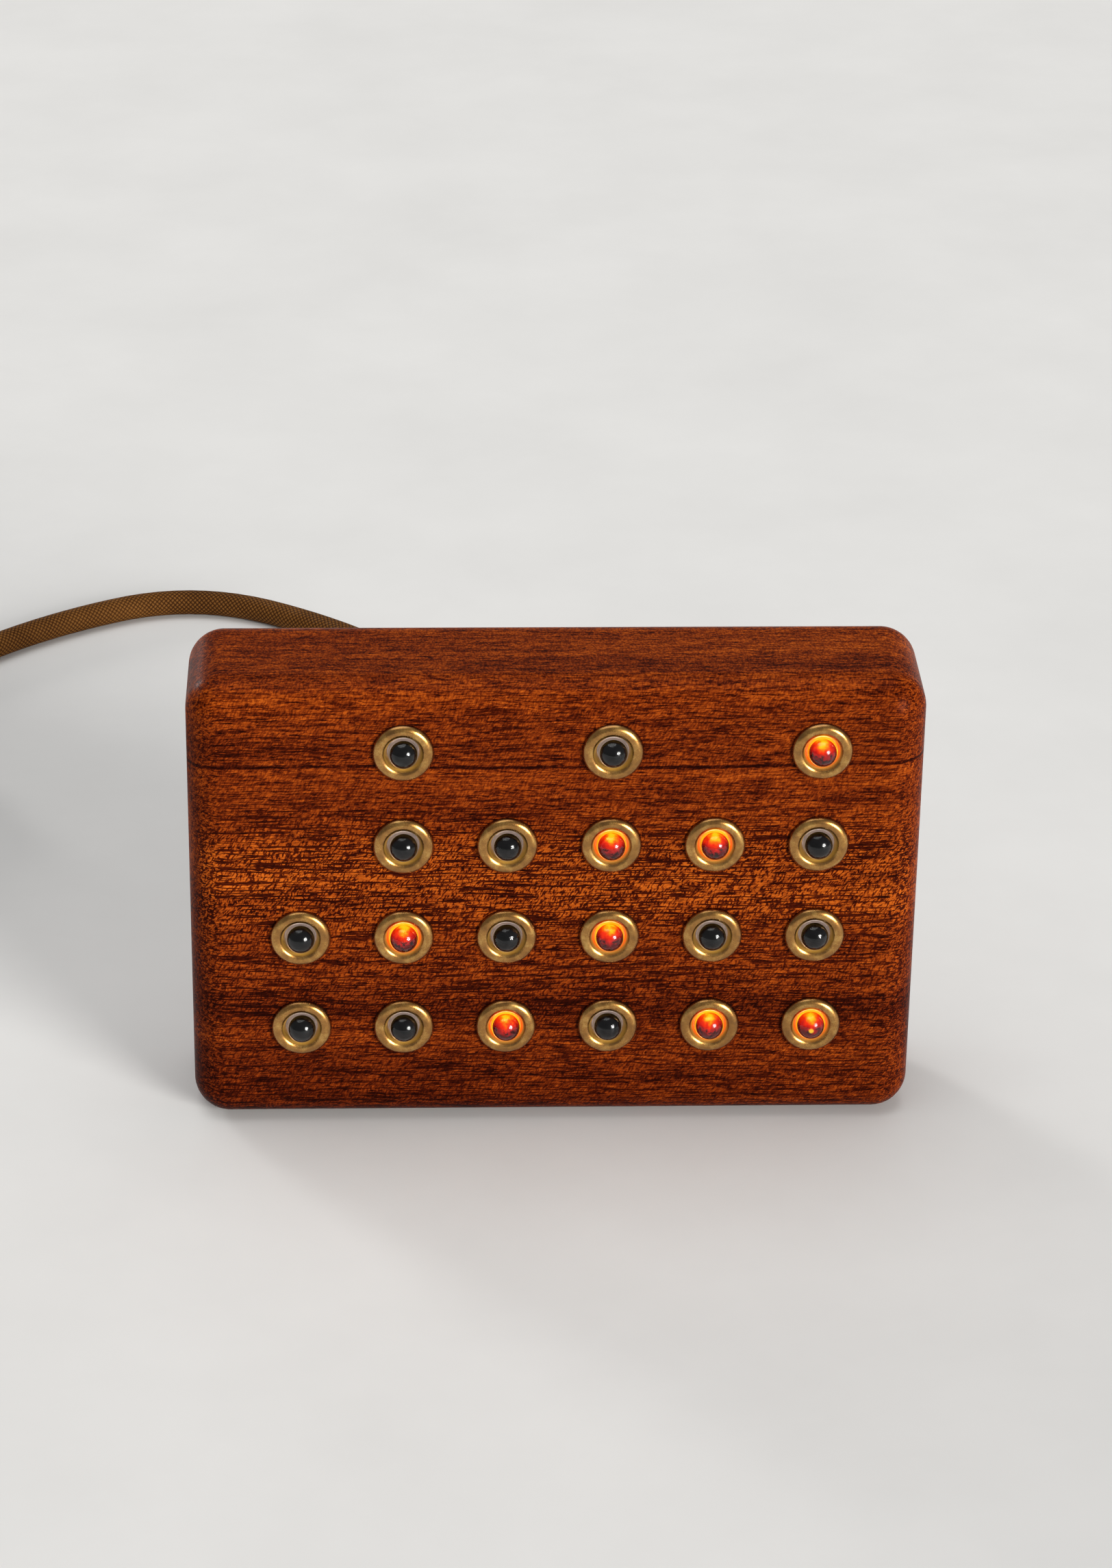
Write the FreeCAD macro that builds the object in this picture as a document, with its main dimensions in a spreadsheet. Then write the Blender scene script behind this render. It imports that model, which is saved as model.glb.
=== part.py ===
import FreeCAD, Part
import math
import os

import Sketcher

# Binary clock in a wooden block. Six columns of LEDs show hours, minutes and seconds, a digit a column,
# as binary-coded decimals. Millimetres. +Z is up, the front face looks along -Y, and the origin is the
# middle of the base.

Vector = FreeCAD.Vector

DRIVING_SIZES = {
    # the LED field on the front face, a little to the right of its middle, and the wood around it
    "led_pitch": 17.0,
    "first_row_height": 18.6,
    "top_margin": 11.4,
    "side_margin": 17.75,
    "field_shift": 0.5,
    # the wooden block and the hollow routed into it from behind
    "block_depth": 28.0,
    "edge_radius": 6.0,
    "front_wall": 4.8,
    "end_wall": 12.0,
    "rim_wall": 7.6,
    "cutter_radius": 3.0,
    # eyelet: its flange slopes up to a crown and down into the throat
    "led_clearance": 0.12,
    "barrel_wall": 0.25,
    "barrel_length": 4.0,
    "crown_reach": 1.33,
    "crown_height": 1.1,
    "flange_slope": 1.1,
    "lip_height": 0.1,
    "eyelet_clearance": 0.03,
    # LED
    "led_diameter": 5.0,
    "led_length": 8.7,
    "led_proud": 2.85,
    "lead_width": 0.5,
    "lead_spacing": 2.54,
    "lead_length": 2.5,
    # circuit board and the wooden posts that carry it
    "board_thickness": 1.6,
    "board_clearance": 0.4,
    "post_diameter": 7.0,
    "board_screw_diameter": 1.8,
    "board_screw_bite": 6.4,
    "board_screw_head": 4.0,
    "board_screw_head_height": 1.4,
    "screw_clearance": 0.05,
    # back panel
    "panel_thickness": 3.0,
    "panel_recess": 2.0,
    "panel_ledge": 5.9,
    "panel_rim_ledge": 1.5,
    "panel_clearance": 0.15,
    "panel_screw_inset": 3.4,
    "panel_screw_corner": 8.0,
    "panel_screw_diameter": 2.0,
    "panel_screw_head": 4.6,
    "panel_screw_head_height": 1.3,
    "panel_screw_length": 9.0,
    # set buttons and the switches that they work
    "button_height": 42.0,
    "hour_button_x": 21.0,
    "minute_button_x": 38.0,
    "button_diameter": 6.0,
    "button_collar_diameter": 8.0,
    "button_collar_thickness": 1.0,
    "button_proud": 1.4,
    "button_bevel": 0.6,
    "button_travel": 0.5,
    "button_clearance": 0.1,
    "collar_gap": 0.2,
    "plunger_diameter": 3.4,
    "plunger_clearance": 0.3,
    "plunger_engagement": 0.8,
    "plunger_end_gap": 0.6,
    "switch_width": 6.0,
    "switch_height": 3.5,
    # places on the back of the board, across from its middle and up from the base
    "controller_x": -5.0,
    "controller_z": 59.0,
    "clock_chip_x": 24.0,
    "clock_chip_z": 60.0,
    "driver_x": -5.0,
    "driver_z": 41.0,
    "crystal_x": 18.0,
    "crystal_z": 50.0,
    "capacitor_x": 14.0,
    "capacitor_z": 15.0,
    "network_x": -4.0,
    "network_z": 28.0,
    "cell_x": -31.0,
    "cell_z": 43.5,
    # electronics
    "chip_width": 6.4,
    "chip_height": 3.3,
    "chip_lift": 0.5,
    "chip_leg_pitch": 2.54,
    "chip_leg_width": 1.2,
    "chip_leg_thickness": 0.3,
    "chip_end": 1.2,
    "socket_height": 4.2,
    "socket_border": 1.4,
    "crystal_diameter": 3.1,
    "crystal_length": 8.2,
    "capacitor_diameter": 6.3,
    "capacitor_height": 8.0,
    "network_length": 12.7,
    "network_width": 2.5,
    "network_height": 5.0,
    "cell_diameter": 20.0,
    "cell_thickness": 3.2,
    "cell_clearance": 0.2,
    "holder_wall": 1.8,
    "holder_floor": 1.2,
    "holder_rise": 3.4,
    "terminal_width": 10.2,
    "terminal_depth": 7.6,
    "terminal_height": 10.0,
    "wire_diameter": 1.4,
    "wire_spacing": 5.0,
    # cord, its grommet in the back panel, its coil and its tie
    "cord_diameter": 5.0,
    "cord_exit_height": 14.0,
    "grommet_neck_wall": 1.5,
    "grommet_clearance": 0.05,
    "grommet_shoulder": 1.0,
    "grommet_tip_wall": 1.0,
    "grommet_nose_length": 12.0,
    "grommet_flange_reach": 1.5,
    "grommet_flange_thickness": 1.5,
    "coil_mean_diameter": 52.0,
    "coil_turns_wide": 3.0,
    "coil_turns_high": 2.0,
    "coil_bevel": 1.4,
    "tie_thickness": 0.6,
    "tie_width": 8.0,
    "tie_clearance": 0.8,
    "tie_corner": 2.0,
    # plug, a flat low-voltage one
    "boot_length": 8.0,
    "boot_end_wall": 0.7,
    "boot_step": 0.3,
    "grip_length": 24.0,
    "grip_width": 15.4,
    "grip_height": 7.5,
    "grip_radius": 2.2,
    "grip_bevel": 0.9,
    "shell_width": 12.0,
    "shell_height": 4.5,
    "shell_length": 12.0,
    "shell_wall": 0.3,
    "shell_corner": 0.7,
    "shell_window": 2.0,
    "shell_window_spread": 5.2,
    "shell_window_reach": 5.6,
    "insulator_thickness": 1.8,
    "tongue_recess": 0.6,
    "contact_width": 1.0,
    "contact_spacing": 2.3,
    "contact_thickness": 0.2,
}

# LEDs in each digit's column, from the tens of hours to the units of seconds
DIGIT_LEDS = (2, 4, 3, 4, 3, 4)

# Legs on each side of the chips
CONTROLLER_LEGS = 14
DRIVER_LEGS = 8
CLOCK_CHIP_LEGS = 4

# The cord on the table: the middle of its coil, the end of its plug's boot, the straight runs at its exit
# and at its plug, and the points of its free stretches. A point's third number is the height of the cord's
# underside there.
COIL_CENTRE = (-148.0, 112.5)
PLUG_PLACE = (-185.5, 67.0)
EXIT_RUN = 22.0
PLUG_RUN = 15.5
CORD_ROUTE = [
    (1.0, 80.0, 3.0),
    (-2.0, 114.0, 0.0),
    (-13.0, 146.0, 0.0),
    (-34.0, 174.0, 0.0),
    (-67.0, 194.5, 0.0),
    (-99.0, 178.0, 0.0),
    (-125.0, 150.0, 0.1),
]
TAIL_ROUTE = [(-180.5, 97.0, 3.4)]

BLOCK_WIDTH = f"({len(DIGIT_LEDS) - 1} * Sizes.led_pitch + 2 * Sizes.side_margin)"
LAST_ROW_HEIGHT = f"(Sizes.first_row_height + {max(DIGIT_LEDS) - 1} * Sizes.led_pitch)"
BLOCK_HEIGHT = f"({LAST_ROW_HEIGHT} + Sizes.top_margin)"
FRONT_FACE = "(-Sizes.block_depth / 2)"
BACK_FACE = "(Sizes.block_depth / 2)"
LED_BASE = f"({FRONT_FACE} - Sizes.led_proud + Sizes.led_length)"
BOARD_FRONT = f"({LED_BASE} + Sizes.lead_length)"
BOARD_BACK = f"({BOARD_FRONT} + Sizes.board_thickness)"
PANEL_OUTSIDE = f"({BACK_FACE} - Sizes.panel_recess)"
PANEL_INSIDE = f"({PANEL_OUTSIDE} - Sizes.panel_thickness)"
HOLLOW_WIDTH = f"({BLOCK_WIDTH} - 2 * Sizes.end_wall)"
HOLLOW_LOW = "Sizes.rim_wall"
HOLLOW_HIGH = f"({BLOCK_HEIGHT} - Sizes.rim_wall)"
PANEL_SEAT_WIDTH = f"({HOLLOW_WIDTH} + 2 * Sizes.panel_ledge)"
PANEL_SEAT_LOW = f"({HOLLOW_LOW} - Sizes.panel_rim_ledge)"
PANEL_SEAT_HIGH = f"({HOLLOW_HIGH} + Sizes.panel_rim_ledge)"
THROAT = "(Sizes.led_diameter / 2 + Sizes.led_clearance)"
BARREL = f"({THROAT} + Sizes.barrel_wall)"
GROMMET_NECK = "(Sizes.cord_diameter / 2 + Sizes.grommet_neck_wall)"
CORD_EXIT = f"({PANEL_OUTSIDE} + Sizes.grommet_nose_length)"
COIL_HALF_WIDTH = "(Sizes.coil_turns_wide * Sizes.cord_diameter / 2)"
COIL_HEIGHT = "(Sizes.coil_turns_high * Sizes.cord_diameter)"
PLUG_AXIS = "(Sizes.grip_height / 2)"

# A piece modelled lying down is stood up so that its own +Z looks out of the front, or out of the back
FACING_FRONT = FreeCAD.Rotation(Vector(1, 0, 0), 90)
FACING_BACK = FreeCAD.Rotation(Vector(1, 0, 0), -90)

# How far an edge may be out of a plane and still count as lying in it
FLATNESS = 0.001

doc = FreeCAD.newDocument("binary_clock")
sizes = doc.addObject("Spreadsheet::Sheet", "Sizes")
for line, (alias, number) in enumerate(DRIVING_SIZES.items(), start=1):
    sizes.set(f"A{line}", alias)
    sizes.set(f"B{line}", str(number))
    sizes.setAlias(f"B{line}", alias)
doc.recompute()


def value(expression):
    """The number that an expression over the spreadsheet gives now."""
    return float(sizes.evalExpression(expression))


def place(piece, x="0", y="0", z="0", rotation=None):
    """Gives a piece its Placement, bound to the spreadsheet."""
    if rotation is not None:
        piece.Placement.Rotation = rotation
    for axis, expression in (("x", x), ("y", y), ("z", z)):
        piece.setExpression(f".Placement.Base.{axis}", expression)
    return piece


def new_body(label):
    body = doc.addObject("PartDesign::Body", label)
    body.Label = label
    return body


def new_sketch(body, name, plane_role="XY_Plane", offset=None):
    """A sketch on one of the body's own origin planes, moved along the plane's normal by offset."""
    plane = next(f for f in body.Origin.OriginFeatures if f.Role == plane_role)
    sketch = body.newObject("Sketcher::SketchObject", name)
    sketch.AttachmentSupport = (plane, [""])
    sketch.MapMode = "FlatFace"
    if offset is not None:
        sketch.setExpression(".AttachmentOffset.Base.z", offset)
    return sketch


def constrain(sketch, kind, *items):
    """Adds a constraint whose last item is the expression that drives it."""
    index = sketch.addConstraint(Sketcher.Constraint(kind, *items[:-1], value(items[-1])))
    sketch.setExpression(f"Constraints[{index}]", items[-1])


def add_polygon(sketch, corners):
    """A closed outline through corners, each an (x, y) pair of expressions."""
    points = [Vector(value(x), value(y), 0) for x, y in corners]
    first = sketch.GeometryCount
    count = len(points)
    for i in range(count):
        sketch.addGeometry(Part.LineSegment(points[i], points[(i + 1) % count]), False)
    for i in range(count):
        sketch.addConstraint(
            Sketcher.Constraint("Coincident", first + i, 2, first + (i + 1) % count, 1)
        )
    for i, (x, y) in enumerate(corners):
        constrain(sketch, "DistanceX", -1, 1, first + i, 1, x)
        constrain(sketch, "DistanceY", -1, 1, first + i, 1, y)


def add_circles(sketch, centres, diameter):
    """Circles of one diameter, each centre an (x, y) pair of expressions."""
    first = sketch.GeometryCount
    for i, (x, y) in enumerate(centres):
        centre = Vector(value(x), value(y), 0)
        sketch.addGeometry(Part.Circle(centre, Vector(0, 0, 1), value(diameter) / 2), False)
        constrain(sketch, "DistanceX", -1, 1, first + i, 3, x)
        constrain(sketch, "DistanceY", -1, 1, first + i, 3, y)
        if i:
            sketch.addConstraint(Sketcher.Constraint("Equal", first, first + i))
    constrain(sketch, "Diameter", first, diameter)


def add_rounded_rectangle(sketch, left, right, low, high, radius):
    """A rectangle with equal round corners, its four sides and radius given as expressions."""
    x0, x1, y0, y1, r = (value(e) for e in (left, right, low, high, radius))
    ends = [
        ((x0 + r, y0), (x1 - r, y0), (x1 - r, y0 + r), -90),
        ((x1, y0 + r), (x1, y1 - r), (x1 - r, y1 - r), 0),
        ((x1 - r, y1), (x0 + r, y1), (x0 + r, y1 - r), 90),
        ((x0, y1 - r), (x0, y0 + r), (x0 + r, y0 + r), 180),
    ]
    first = sketch.GeometryCount
    for start, end, centre, angle in ends:
        sketch.addGeometry(Part.LineSegment(Vector(*start, 0), Vector(*end, 0)), False)
        circle = Part.Circle(Vector(*centre, 0), Vector(0, 0, 1), r)
        turn = (math.radians(angle), math.radians(angle + 90))
        sketch.addGeometry(Part.ArcOfCircle(circle, *turn), False)
    for side in range(4):
        line = first + 2 * side
        arc = line + 1
        next_line = first + (2 * side + 2) % 8
        sketch.addConstraint(Sketcher.Constraint("Tangent", line, 2, arc, 1))
        sketch.addConstraint(Sketcher.Constraint("Tangent", arc, 2, next_line, 1))
        direction = "Vertical" if side % 2 else "Horizontal"
        sketch.addConstraint(Sketcher.Constraint(direction, line))
        if side:
            sketch.addConstraint(Sketcher.Constraint("Equal", first + 1, arc))
    constrain(sketch, "Radius", first + 1, radius)
    constrain(sketch, "DistanceY", -1, 1, first, 1, low)
    constrain(sketch, "DistanceX", -1, 1, first + 2, 1, right)
    constrain(sketch, "DistanceY", -1, 1, first + 4, 1, high)
    constrain(sketch, "DistanceX", -1, 1, first + 6, 1, left)


def pad(body, sketch, length, name="Pad"):
    """Raises a sketch along its normal by length."""
    feature = body.newObject("PartDesign::Pad", name)
    feature.Profile = sketch
    feature.setExpression("Length", length)
    doc.recompute()
    return feature


def cut(body, sketch, length=None, along_normal=True, name="Pocket"):
    """Cuts a sketch into the body, to a length or right through, and makes sure that it took wood away."""
    before = body.Shape.Volume
    feature = body.newObject("PartDesign::Pocket", name)
    feature.Profile = sketch
    feature.Reversed = along_normal
    if length is None:
        feature.Type = "ThroughAll"
    else:
        feature.setExpression("Length", length)
    doc.recompute()
    if not feature.Shape.Volume < before:
        raise ValueError(f"{body.Label}: {name} cuts nothing")
    return feature


def turned(label, profile):
    """A piece turned about its own Z axis from a profile of (radius, height) expressions."""
    body = new_body(label)
    sketch = new_sketch(body, "Profile", "XZ_Plane")
    add_polygon(sketch, profile)
    feature = body.newObject("PartDesign::Revolution", "Turning")
    feature.Profile = sketch
    feature.ReferenceAxis = (sketch, ["V_Axis"])
    feature.Angle = 360
    doc.recompute()
    return body


def box(label, width, depth, height):
    """A plain block centred on its own Z axis, standing on its own XY plane."""
    body = new_body(label)
    sketch = new_sketch(body, "Outline")
    sides = (f"-({width}) / 2", f"({width}) / 2", f"-({depth}) / 2", f"({depth}) / 2")
    left, right, low, high = sides
    add_polygon(sketch, [(left, low), (right, low), (right, high), (left, high)])
    pad(body, sketch, height)
    return body


def repeated(label, master, places, y, rotation):
    """Copies of one piece at (x, z) places, joined in one sub-part as separate solids."""
    copies = []
    for number, (x, z) in enumerate(places, start=1):
        link = doc.addObject("App::Link", f"{label}_{number}")
        link.LinkedObject = master
        copies.append(place(link, x, y, z, rotation))
    group = doc.addObject("Part::Compound", label)
    group.Links = copies
    group.Label = label
    doc.recompute()
    return group


def led_places():
    """(x, z) of every LED: a column for each digit, filled from the bottom row up."""
    middle = (len(DIGIT_LEDS) + 1) / 2
    places = []
    for column, count in enumerate(DIGIT_LEDS, start=1):
        for row in range(count):
            x = f"{column - middle} * Sizes.led_pitch + Sizes.field_shift"
            places.append((x, f"Sizes.first_row_height + {row} * Sizes.led_pitch"))
    return places


def post_places():
    """(x, z) of the four posts that carry the circuit board, each between four places of the grid."""
    across = len(DIGIT_LEDS) / 2 - 1
    rows = (0.5, max(DIGIT_LEDS) - 1.5)
    return [
        (f"{side * across} * Sizes.led_pitch", f"Sizes.first_row_height + {row} * Sizes.led_pitch")
        for side in (-1, 1)
        for row in rows
    ]


def panel_screw_places():
    """(x, z) of the four screws, in the wide end ledges of the back panel's seat."""
    reach = f"({PANEL_SEAT_WIDTH} / 2 - Sizes.panel_screw_inset)"
    low = f"({PANEL_SEAT_LOW} + Sizes.panel_screw_corner)"
    high = f"({PANEL_SEAT_HIGH} - Sizes.panel_screw_corner)"
    return [(f"{side} * {reach}", z) for side in (-1, 1) for z in (low, high)]


def make_wood_body():
    """The block: every edge rounded, a stepped hollow routed from behind, and a bore for each eyelet."""
    body = new_body("wood_body")
    half = f"{BLOCK_WIDTH} / 2"
    outline = new_sketch(body, "Outline")
    corners = [(f"-{half}", "0"), (half, "0"), (half, BLOCK_HEIGHT), (f"-{half}", BLOCK_HEIGHT)]
    add_polygon(outline, corners)
    block = pad(body, outline, "Sizes.block_depth", "Block")
    rounding = body.newObject("PartDesign::Fillet", "EdgeRounding")
    rounding.Base = (block, [f"Edge{i + 1}" for i in range(len(block.Shape.Edges))])
    rounding.setExpression("Radius", "Sizes.edge_radius")
    doc.recompute()

    seat = new_sketch(body, "PanelSeatOutline")
    seat_half = f"{PANEL_SEAT_WIDTH} / 2"
    seat_sides = (f"-{seat_half}", seat_half, PANEL_SEAT_LOW, PANEL_SEAT_HIGH)
    add_rounded_rectangle(seat, *seat_sides, "Sizes.cutter_radius")
    cut(body, seat, "Sizes.panel_recess + Sizes.panel_thickness", name="PanelSeat")

    hollow_sides = (f"-{HOLLOW_WIDTH} / 2", f"{HOLLOW_WIDTH} / 2", HOLLOW_LOW, HOLLOW_HIGH)
    hollow = new_sketch(body, "HollowOutline")
    add_rounded_rectangle(hollow, *hollow_sides, "Sizes.cutter_radius")
    cut(body, hollow, f"{BACK_FACE} - {BOARD_FRONT}", name="Hollow")

    well = new_sketch(body, "WellOutline")
    add_rounded_rectangle(well, *hollow_sides, "Sizes.cutter_radius")
    add_circles(well, post_places(), "Sizes.post_diameter")
    cut(body, well, "Sizes.block_depth - Sizes.front_wall", name="WellAroundPosts")

    bores = new_sketch(body, "EyeletBoreCentres")
    add_circles(bores, led_places(), f"2 * ({BARREL} + Sizes.eyelet_clearance)")
    cut(body, bores, name="EyeletBores")

    board_pilots = new_sketch(body, "BoardPilotCentres")
    pilot = "Sizes.board_screw_diameter + 2 * Sizes.screw_clearance"
    add_circles(board_pilots, post_places(), pilot)
    bite = "Sizes.board_screw_bite + Sizes.screw_clearance"
    cut(body, board_pilots, f"{BACK_FACE} - {BOARD_FRONT} + {bite}", name="BoardPilots")

    panel_pilots = new_sketch(body, "PanelPilotCentres")
    pilot = "Sizes.panel_screw_diameter + 2 * Sizes.screw_clearance"
    add_circles(panel_pilots, panel_screw_places(), pilot)
    depth = "Sizes.panel_recess + Sizes.panel_screw_length + Sizes.screw_clearance"
    cut(body, panel_pilots, depth, name="PanelPilots")
    return place(body, y=BACK_FACE, rotation=FACING_FRONT)


def make_eyelets():
    """Brass eyelets: a barrel in the wood, and a flange that rises to a crown and falls into the throat."""
    crown = f"({THROAT} + Sizes.crown_reach)"
    profile = [
        (THROAT, "-Sizes.barrel_length"),
        (BARREL, "-Sizes.barrel_length"),
        (BARREL, "0"),
        (f"{crown} + Sizes.flange_slope", "0"),
        (crown, "Sizes.crown_height"),
        (THROAT, "Sizes.lip_height"),
    ]
    master = turned("eyelet", profile)
    return repeated("brass_eyelets", master, led_places(), FRONT_FACE, FACING_FRONT)


def make_leds():
    """Clear round LEDs: a straight body that ends in a dome, standing proud of the wood."""
    radius = "Sizes.led_diameter / 2"
    straight = "Sizes.led_length - Sizes.led_diameter / 2"
    master = new_body("led")
    sketch = new_sketch(master, "Profile", "XZ_Plane")
    foot, base, shoulder, tip = (
        Vector(0, 0, 0),
        Vector(value(radius), 0, 0),
        Vector(value(radius), value(straight), 0),
        Vector(0, value("Sizes.led_length"), 0),
    )
    crown = Part.ArcOfCircle(
        Part.Circle(Vector(0, value(straight), 0), Vector(0, 0, 1), value(radius)), 0, math.pi / 2
    )
    for edge in (Part.LineSegment(foot, base), Part.LineSegment(base, shoulder), crown):
        sketch.addGeometry(edge, False)
    sketch.addGeometry(Part.LineSegment(tip, foot), False)
    for edge in range(4):
        joint = ("Coincident", edge, 2, (edge + 1) % 4, 1)
        sketch.addConstraint(Sketcher.Constraint(*joint))
    sketch.addConstraint(Sketcher.Constraint("Coincident", 0, 1, -1, 1))
    sketch.addConstraint(Sketcher.Constraint("Horizontal", 0))
    sketch.addConstraint(Sketcher.Constraint("Vertical", 1))
    sketch.addConstraint(Sketcher.Constraint("Vertical", 3))
    sketch.addConstraint(Sketcher.Constraint("PointOnObject", 2, 3, 3))
    constrain(sketch, "DistanceX", -1, 1, 0, 2, radius)
    constrain(sketch, "DistanceY", -1, 1, 1, 2, straight)
    constrain(sketch, "DistanceY", -1, 1, 3, 1, "Sizes.led_length")
    turning = master.newObject("PartDesign::Revolution", "Turning")
    turning.Profile = sketch
    turning.ReferenceAxis = (sketch, ["V_Axis"])
    turning.Angle = 360
    doc.recompute()
    return repeated("leds", master, led_places(), LED_BASE, FACING_FRONT)


def make_led_leads():
    """Two square legs under each LED, soldered upright on the board."""
    master = box("led_lead", "Sizes.lead_width", "Sizes.lead_width", "Sizes.lead_length")
    places = [
        (f"{x} + {side} * Sizes.lead_spacing / 2", z) for x, z in led_places() for side in (-1, 1)
    ]
    return repeated("led_leads", master, places, BOARD_FRONT, FACING_FRONT)


def make_circuit_board():
    """The board that fills the hollow, with a hole over each post."""
    body = new_body("circuit_board")
    half = f"({HOLLOW_WIDTH} / 2 - Sizes.board_clearance)"
    low = f"({HOLLOW_LOW} + Sizes.board_clearance)"
    high = f"({HOLLOW_HIGH} - Sizes.board_clearance)"
    outline = new_sketch(body, "Outline")
    add_rounded_rectangle(outline, f"-{half}", half, low, high, "Sizes.cutter_radius")
    pad(body, outline, "Sizes.board_thickness")
    holes = new_sketch(body, "ScrewHoleCentres")
    hole = "Sizes.board_screw_diameter + 4 * Sizes.screw_clearance"
    add_circles(holes, post_places(), hole)
    cut(body, holes, name="ScrewHoles")
    return place(body, y=BOARD_BACK, rotation=FACING_FRONT)


def make_board_screws():
    """Pan-head screws that hold the board down on its posts."""
    shank = "Sizes.board_screw_diameter / 2"
    head = "Sizes.board_screw_head / 2"
    length = "-(Sizes.board_thickness + Sizes.board_screw_bite)"
    top = "Sizes.board_screw_head_height"
    profile = [("0", length), (shank, length), (shank, "0"), (head, "0"), (head, top), ("0", top)]
    master = turned("board_screw", profile)
    return repeated("board_screws", master, post_places(), BOARD_BACK, FACING_BACK)


def button_places():
    """(x, z) of the two set buttons and their switches."""
    return [(f"Sizes.{digits}_button_x", "Sizes.button_height") for digits in ("hour", "minute")]


def make_back_panel():
    """The lid of the hollow, let into its seat, with countersinks, button holes and the cord's hole."""
    body = new_body("back_panel")
    half = f"({PANEL_SEAT_WIDTH} / 2 - Sizes.panel_clearance)"
    low = f"({PANEL_SEAT_LOW} + Sizes.panel_clearance)"
    high = f"({PANEL_SEAT_HIGH} - Sizes.panel_clearance)"
    outline = new_sketch(body, "Outline")
    radius = "Sizes.cutter_radius - Sizes.panel_clearance"
    add_rounded_rectangle(outline, f"-{half}", half, low, high, radius)
    pad(body, outline, "Sizes.panel_thickness")

    buttons = new_sketch(body, "ButtonHoleCentres")
    hole = "Sizes.button_diameter + 2 * Sizes.button_clearance"
    add_circles(buttons, button_places(), hole)
    cut(body, buttons, name="ButtonHoles")

    cord = new_sketch(body, "CordHoleCentre")
    hole = f"2 * ({GROMMET_NECK} + Sizes.grommet_clearance)"
    add_circles(cord, [("0", "Sizes.cord_exit_height")], hole)
    cut(body, cord, name="CordHole")

    for number, (x, z) in enumerate(panel_screw_places(), start=1):
        before = body.Shape.Volume
        centre = new_sketch(body, f"ScrewCentre{number}")
        add_circles(centre, [(x, z)], "Sizes.panel_screw_diameter")
        doc.recompute()
        sink = body.newObject("PartDesign::Hole", f"Countersink{number}")
        sink.Profile = centre
        doc.recompute()
        sink.Threaded = False
        sink.setExpression("Diameter", "Sizes.panel_screw_diameter + 4 * Sizes.screw_clearance")
        sink.DepthType = "ThroughAll"
        sink.HoleCutType = "Countersink"
        sink.HoleCutCustomValues = True
        sink.setExpression("HoleCutDiameter", "Sizes.panel_screw_head + 4 * Sizes.screw_clearance")
        sink.HoleCutCountersinkAngle = 90
        sink.Reversed = True
        doc.recompute()
        if not sink.Shape.Volume < before:
            raise ValueError("a countersink cuts nothing")
    return place(body, y=PANEL_OUTSIDE, rotation=FACING_FRONT)


def make_panel_screws():
    """Countersunk screws, their heads flush with the back panel."""
    shank = "Sizes.panel_screw_diameter / 2"
    head = "Sizes.panel_screw_head / 2"
    neck = "-Sizes.panel_screw_head_height"
    length = "-Sizes.panel_screw_length"
    profile = [("0", length), (shank, length), (shank, neck), (head, "0"), ("0", "0")]
    master = turned("panel_screw", profile)
    return repeated("panel_screws", master, panel_screw_places(), PANEL_OUTSIDE, FACING_BACK)


def make_switch(label, x):
    """A push switch on the back of the board, with the well that its plunger dips into."""
    body = box(label, "Sizes.switch_width", "Sizes.switch_width", "Sizes.switch_height")
    well = new_sketch(body, "WellCentre", offset="Sizes.switch_height")
    add_circles(well, [("0", "0")], "Sizes.plunger_diameter + 2 * Sizes.plunger_clearance")
    depth = "Sizes.plunger_engagement + Sizes.button_travel + Sizes.plunger_end_gap"
    cut(body, well, depth, along_normal=False, name="PlungerWell")
    return place(body, x, BOARD_BACK, "Sizes.button_height", FACING_BACK)


def make_button(label, x):
    """A set button: cap through the panel, collar that stops it inside, and the plunger in its switch."""
    cap = "Sizes.button_diameter / 2"
    collar = "Sizes.button_collar_diameter / 2"
    plunger = "Sizes.plunger_diameter / 2"
    collar_top = "-(Sizes.panel_thickness + Sizes.collar_gap)"
    collar_low = f"({collar_top} - Sizes.button_collar_thickness)"
    end = f"({BOARD_BACK} + Sizes.switch_height - Sizes.plunger_engagement - {PANEL_OUTSIDE})"
    proud = "Sizes.button_proud"
    profile = [
        ("0", end),
        (plunger, end),
        (plunger, collar_low),
        (collar, collar_low),
        (collar, collar_top),
        (cap, collar_top),
        (cap, f"{proud} - Sizes.button_bevel"),
        (f"{cap} - Sizes.button_bevel", proud),
        ("0", proud),
    ]
    return place(turned(label, profile), x, PANEL_OUTSIDE, "Sizes.button_height", FACING_BACK)


def on_board(piece, name, lift="0"):
    """Sets a piece on the back of the board, at the place that the sheet gives for the name."""
    return place(piece, f"Sizes.{name}_x", f"{BOARD_BACK} + {lift}", f"Sizes.{name}_z", FACING_BACK)


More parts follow.
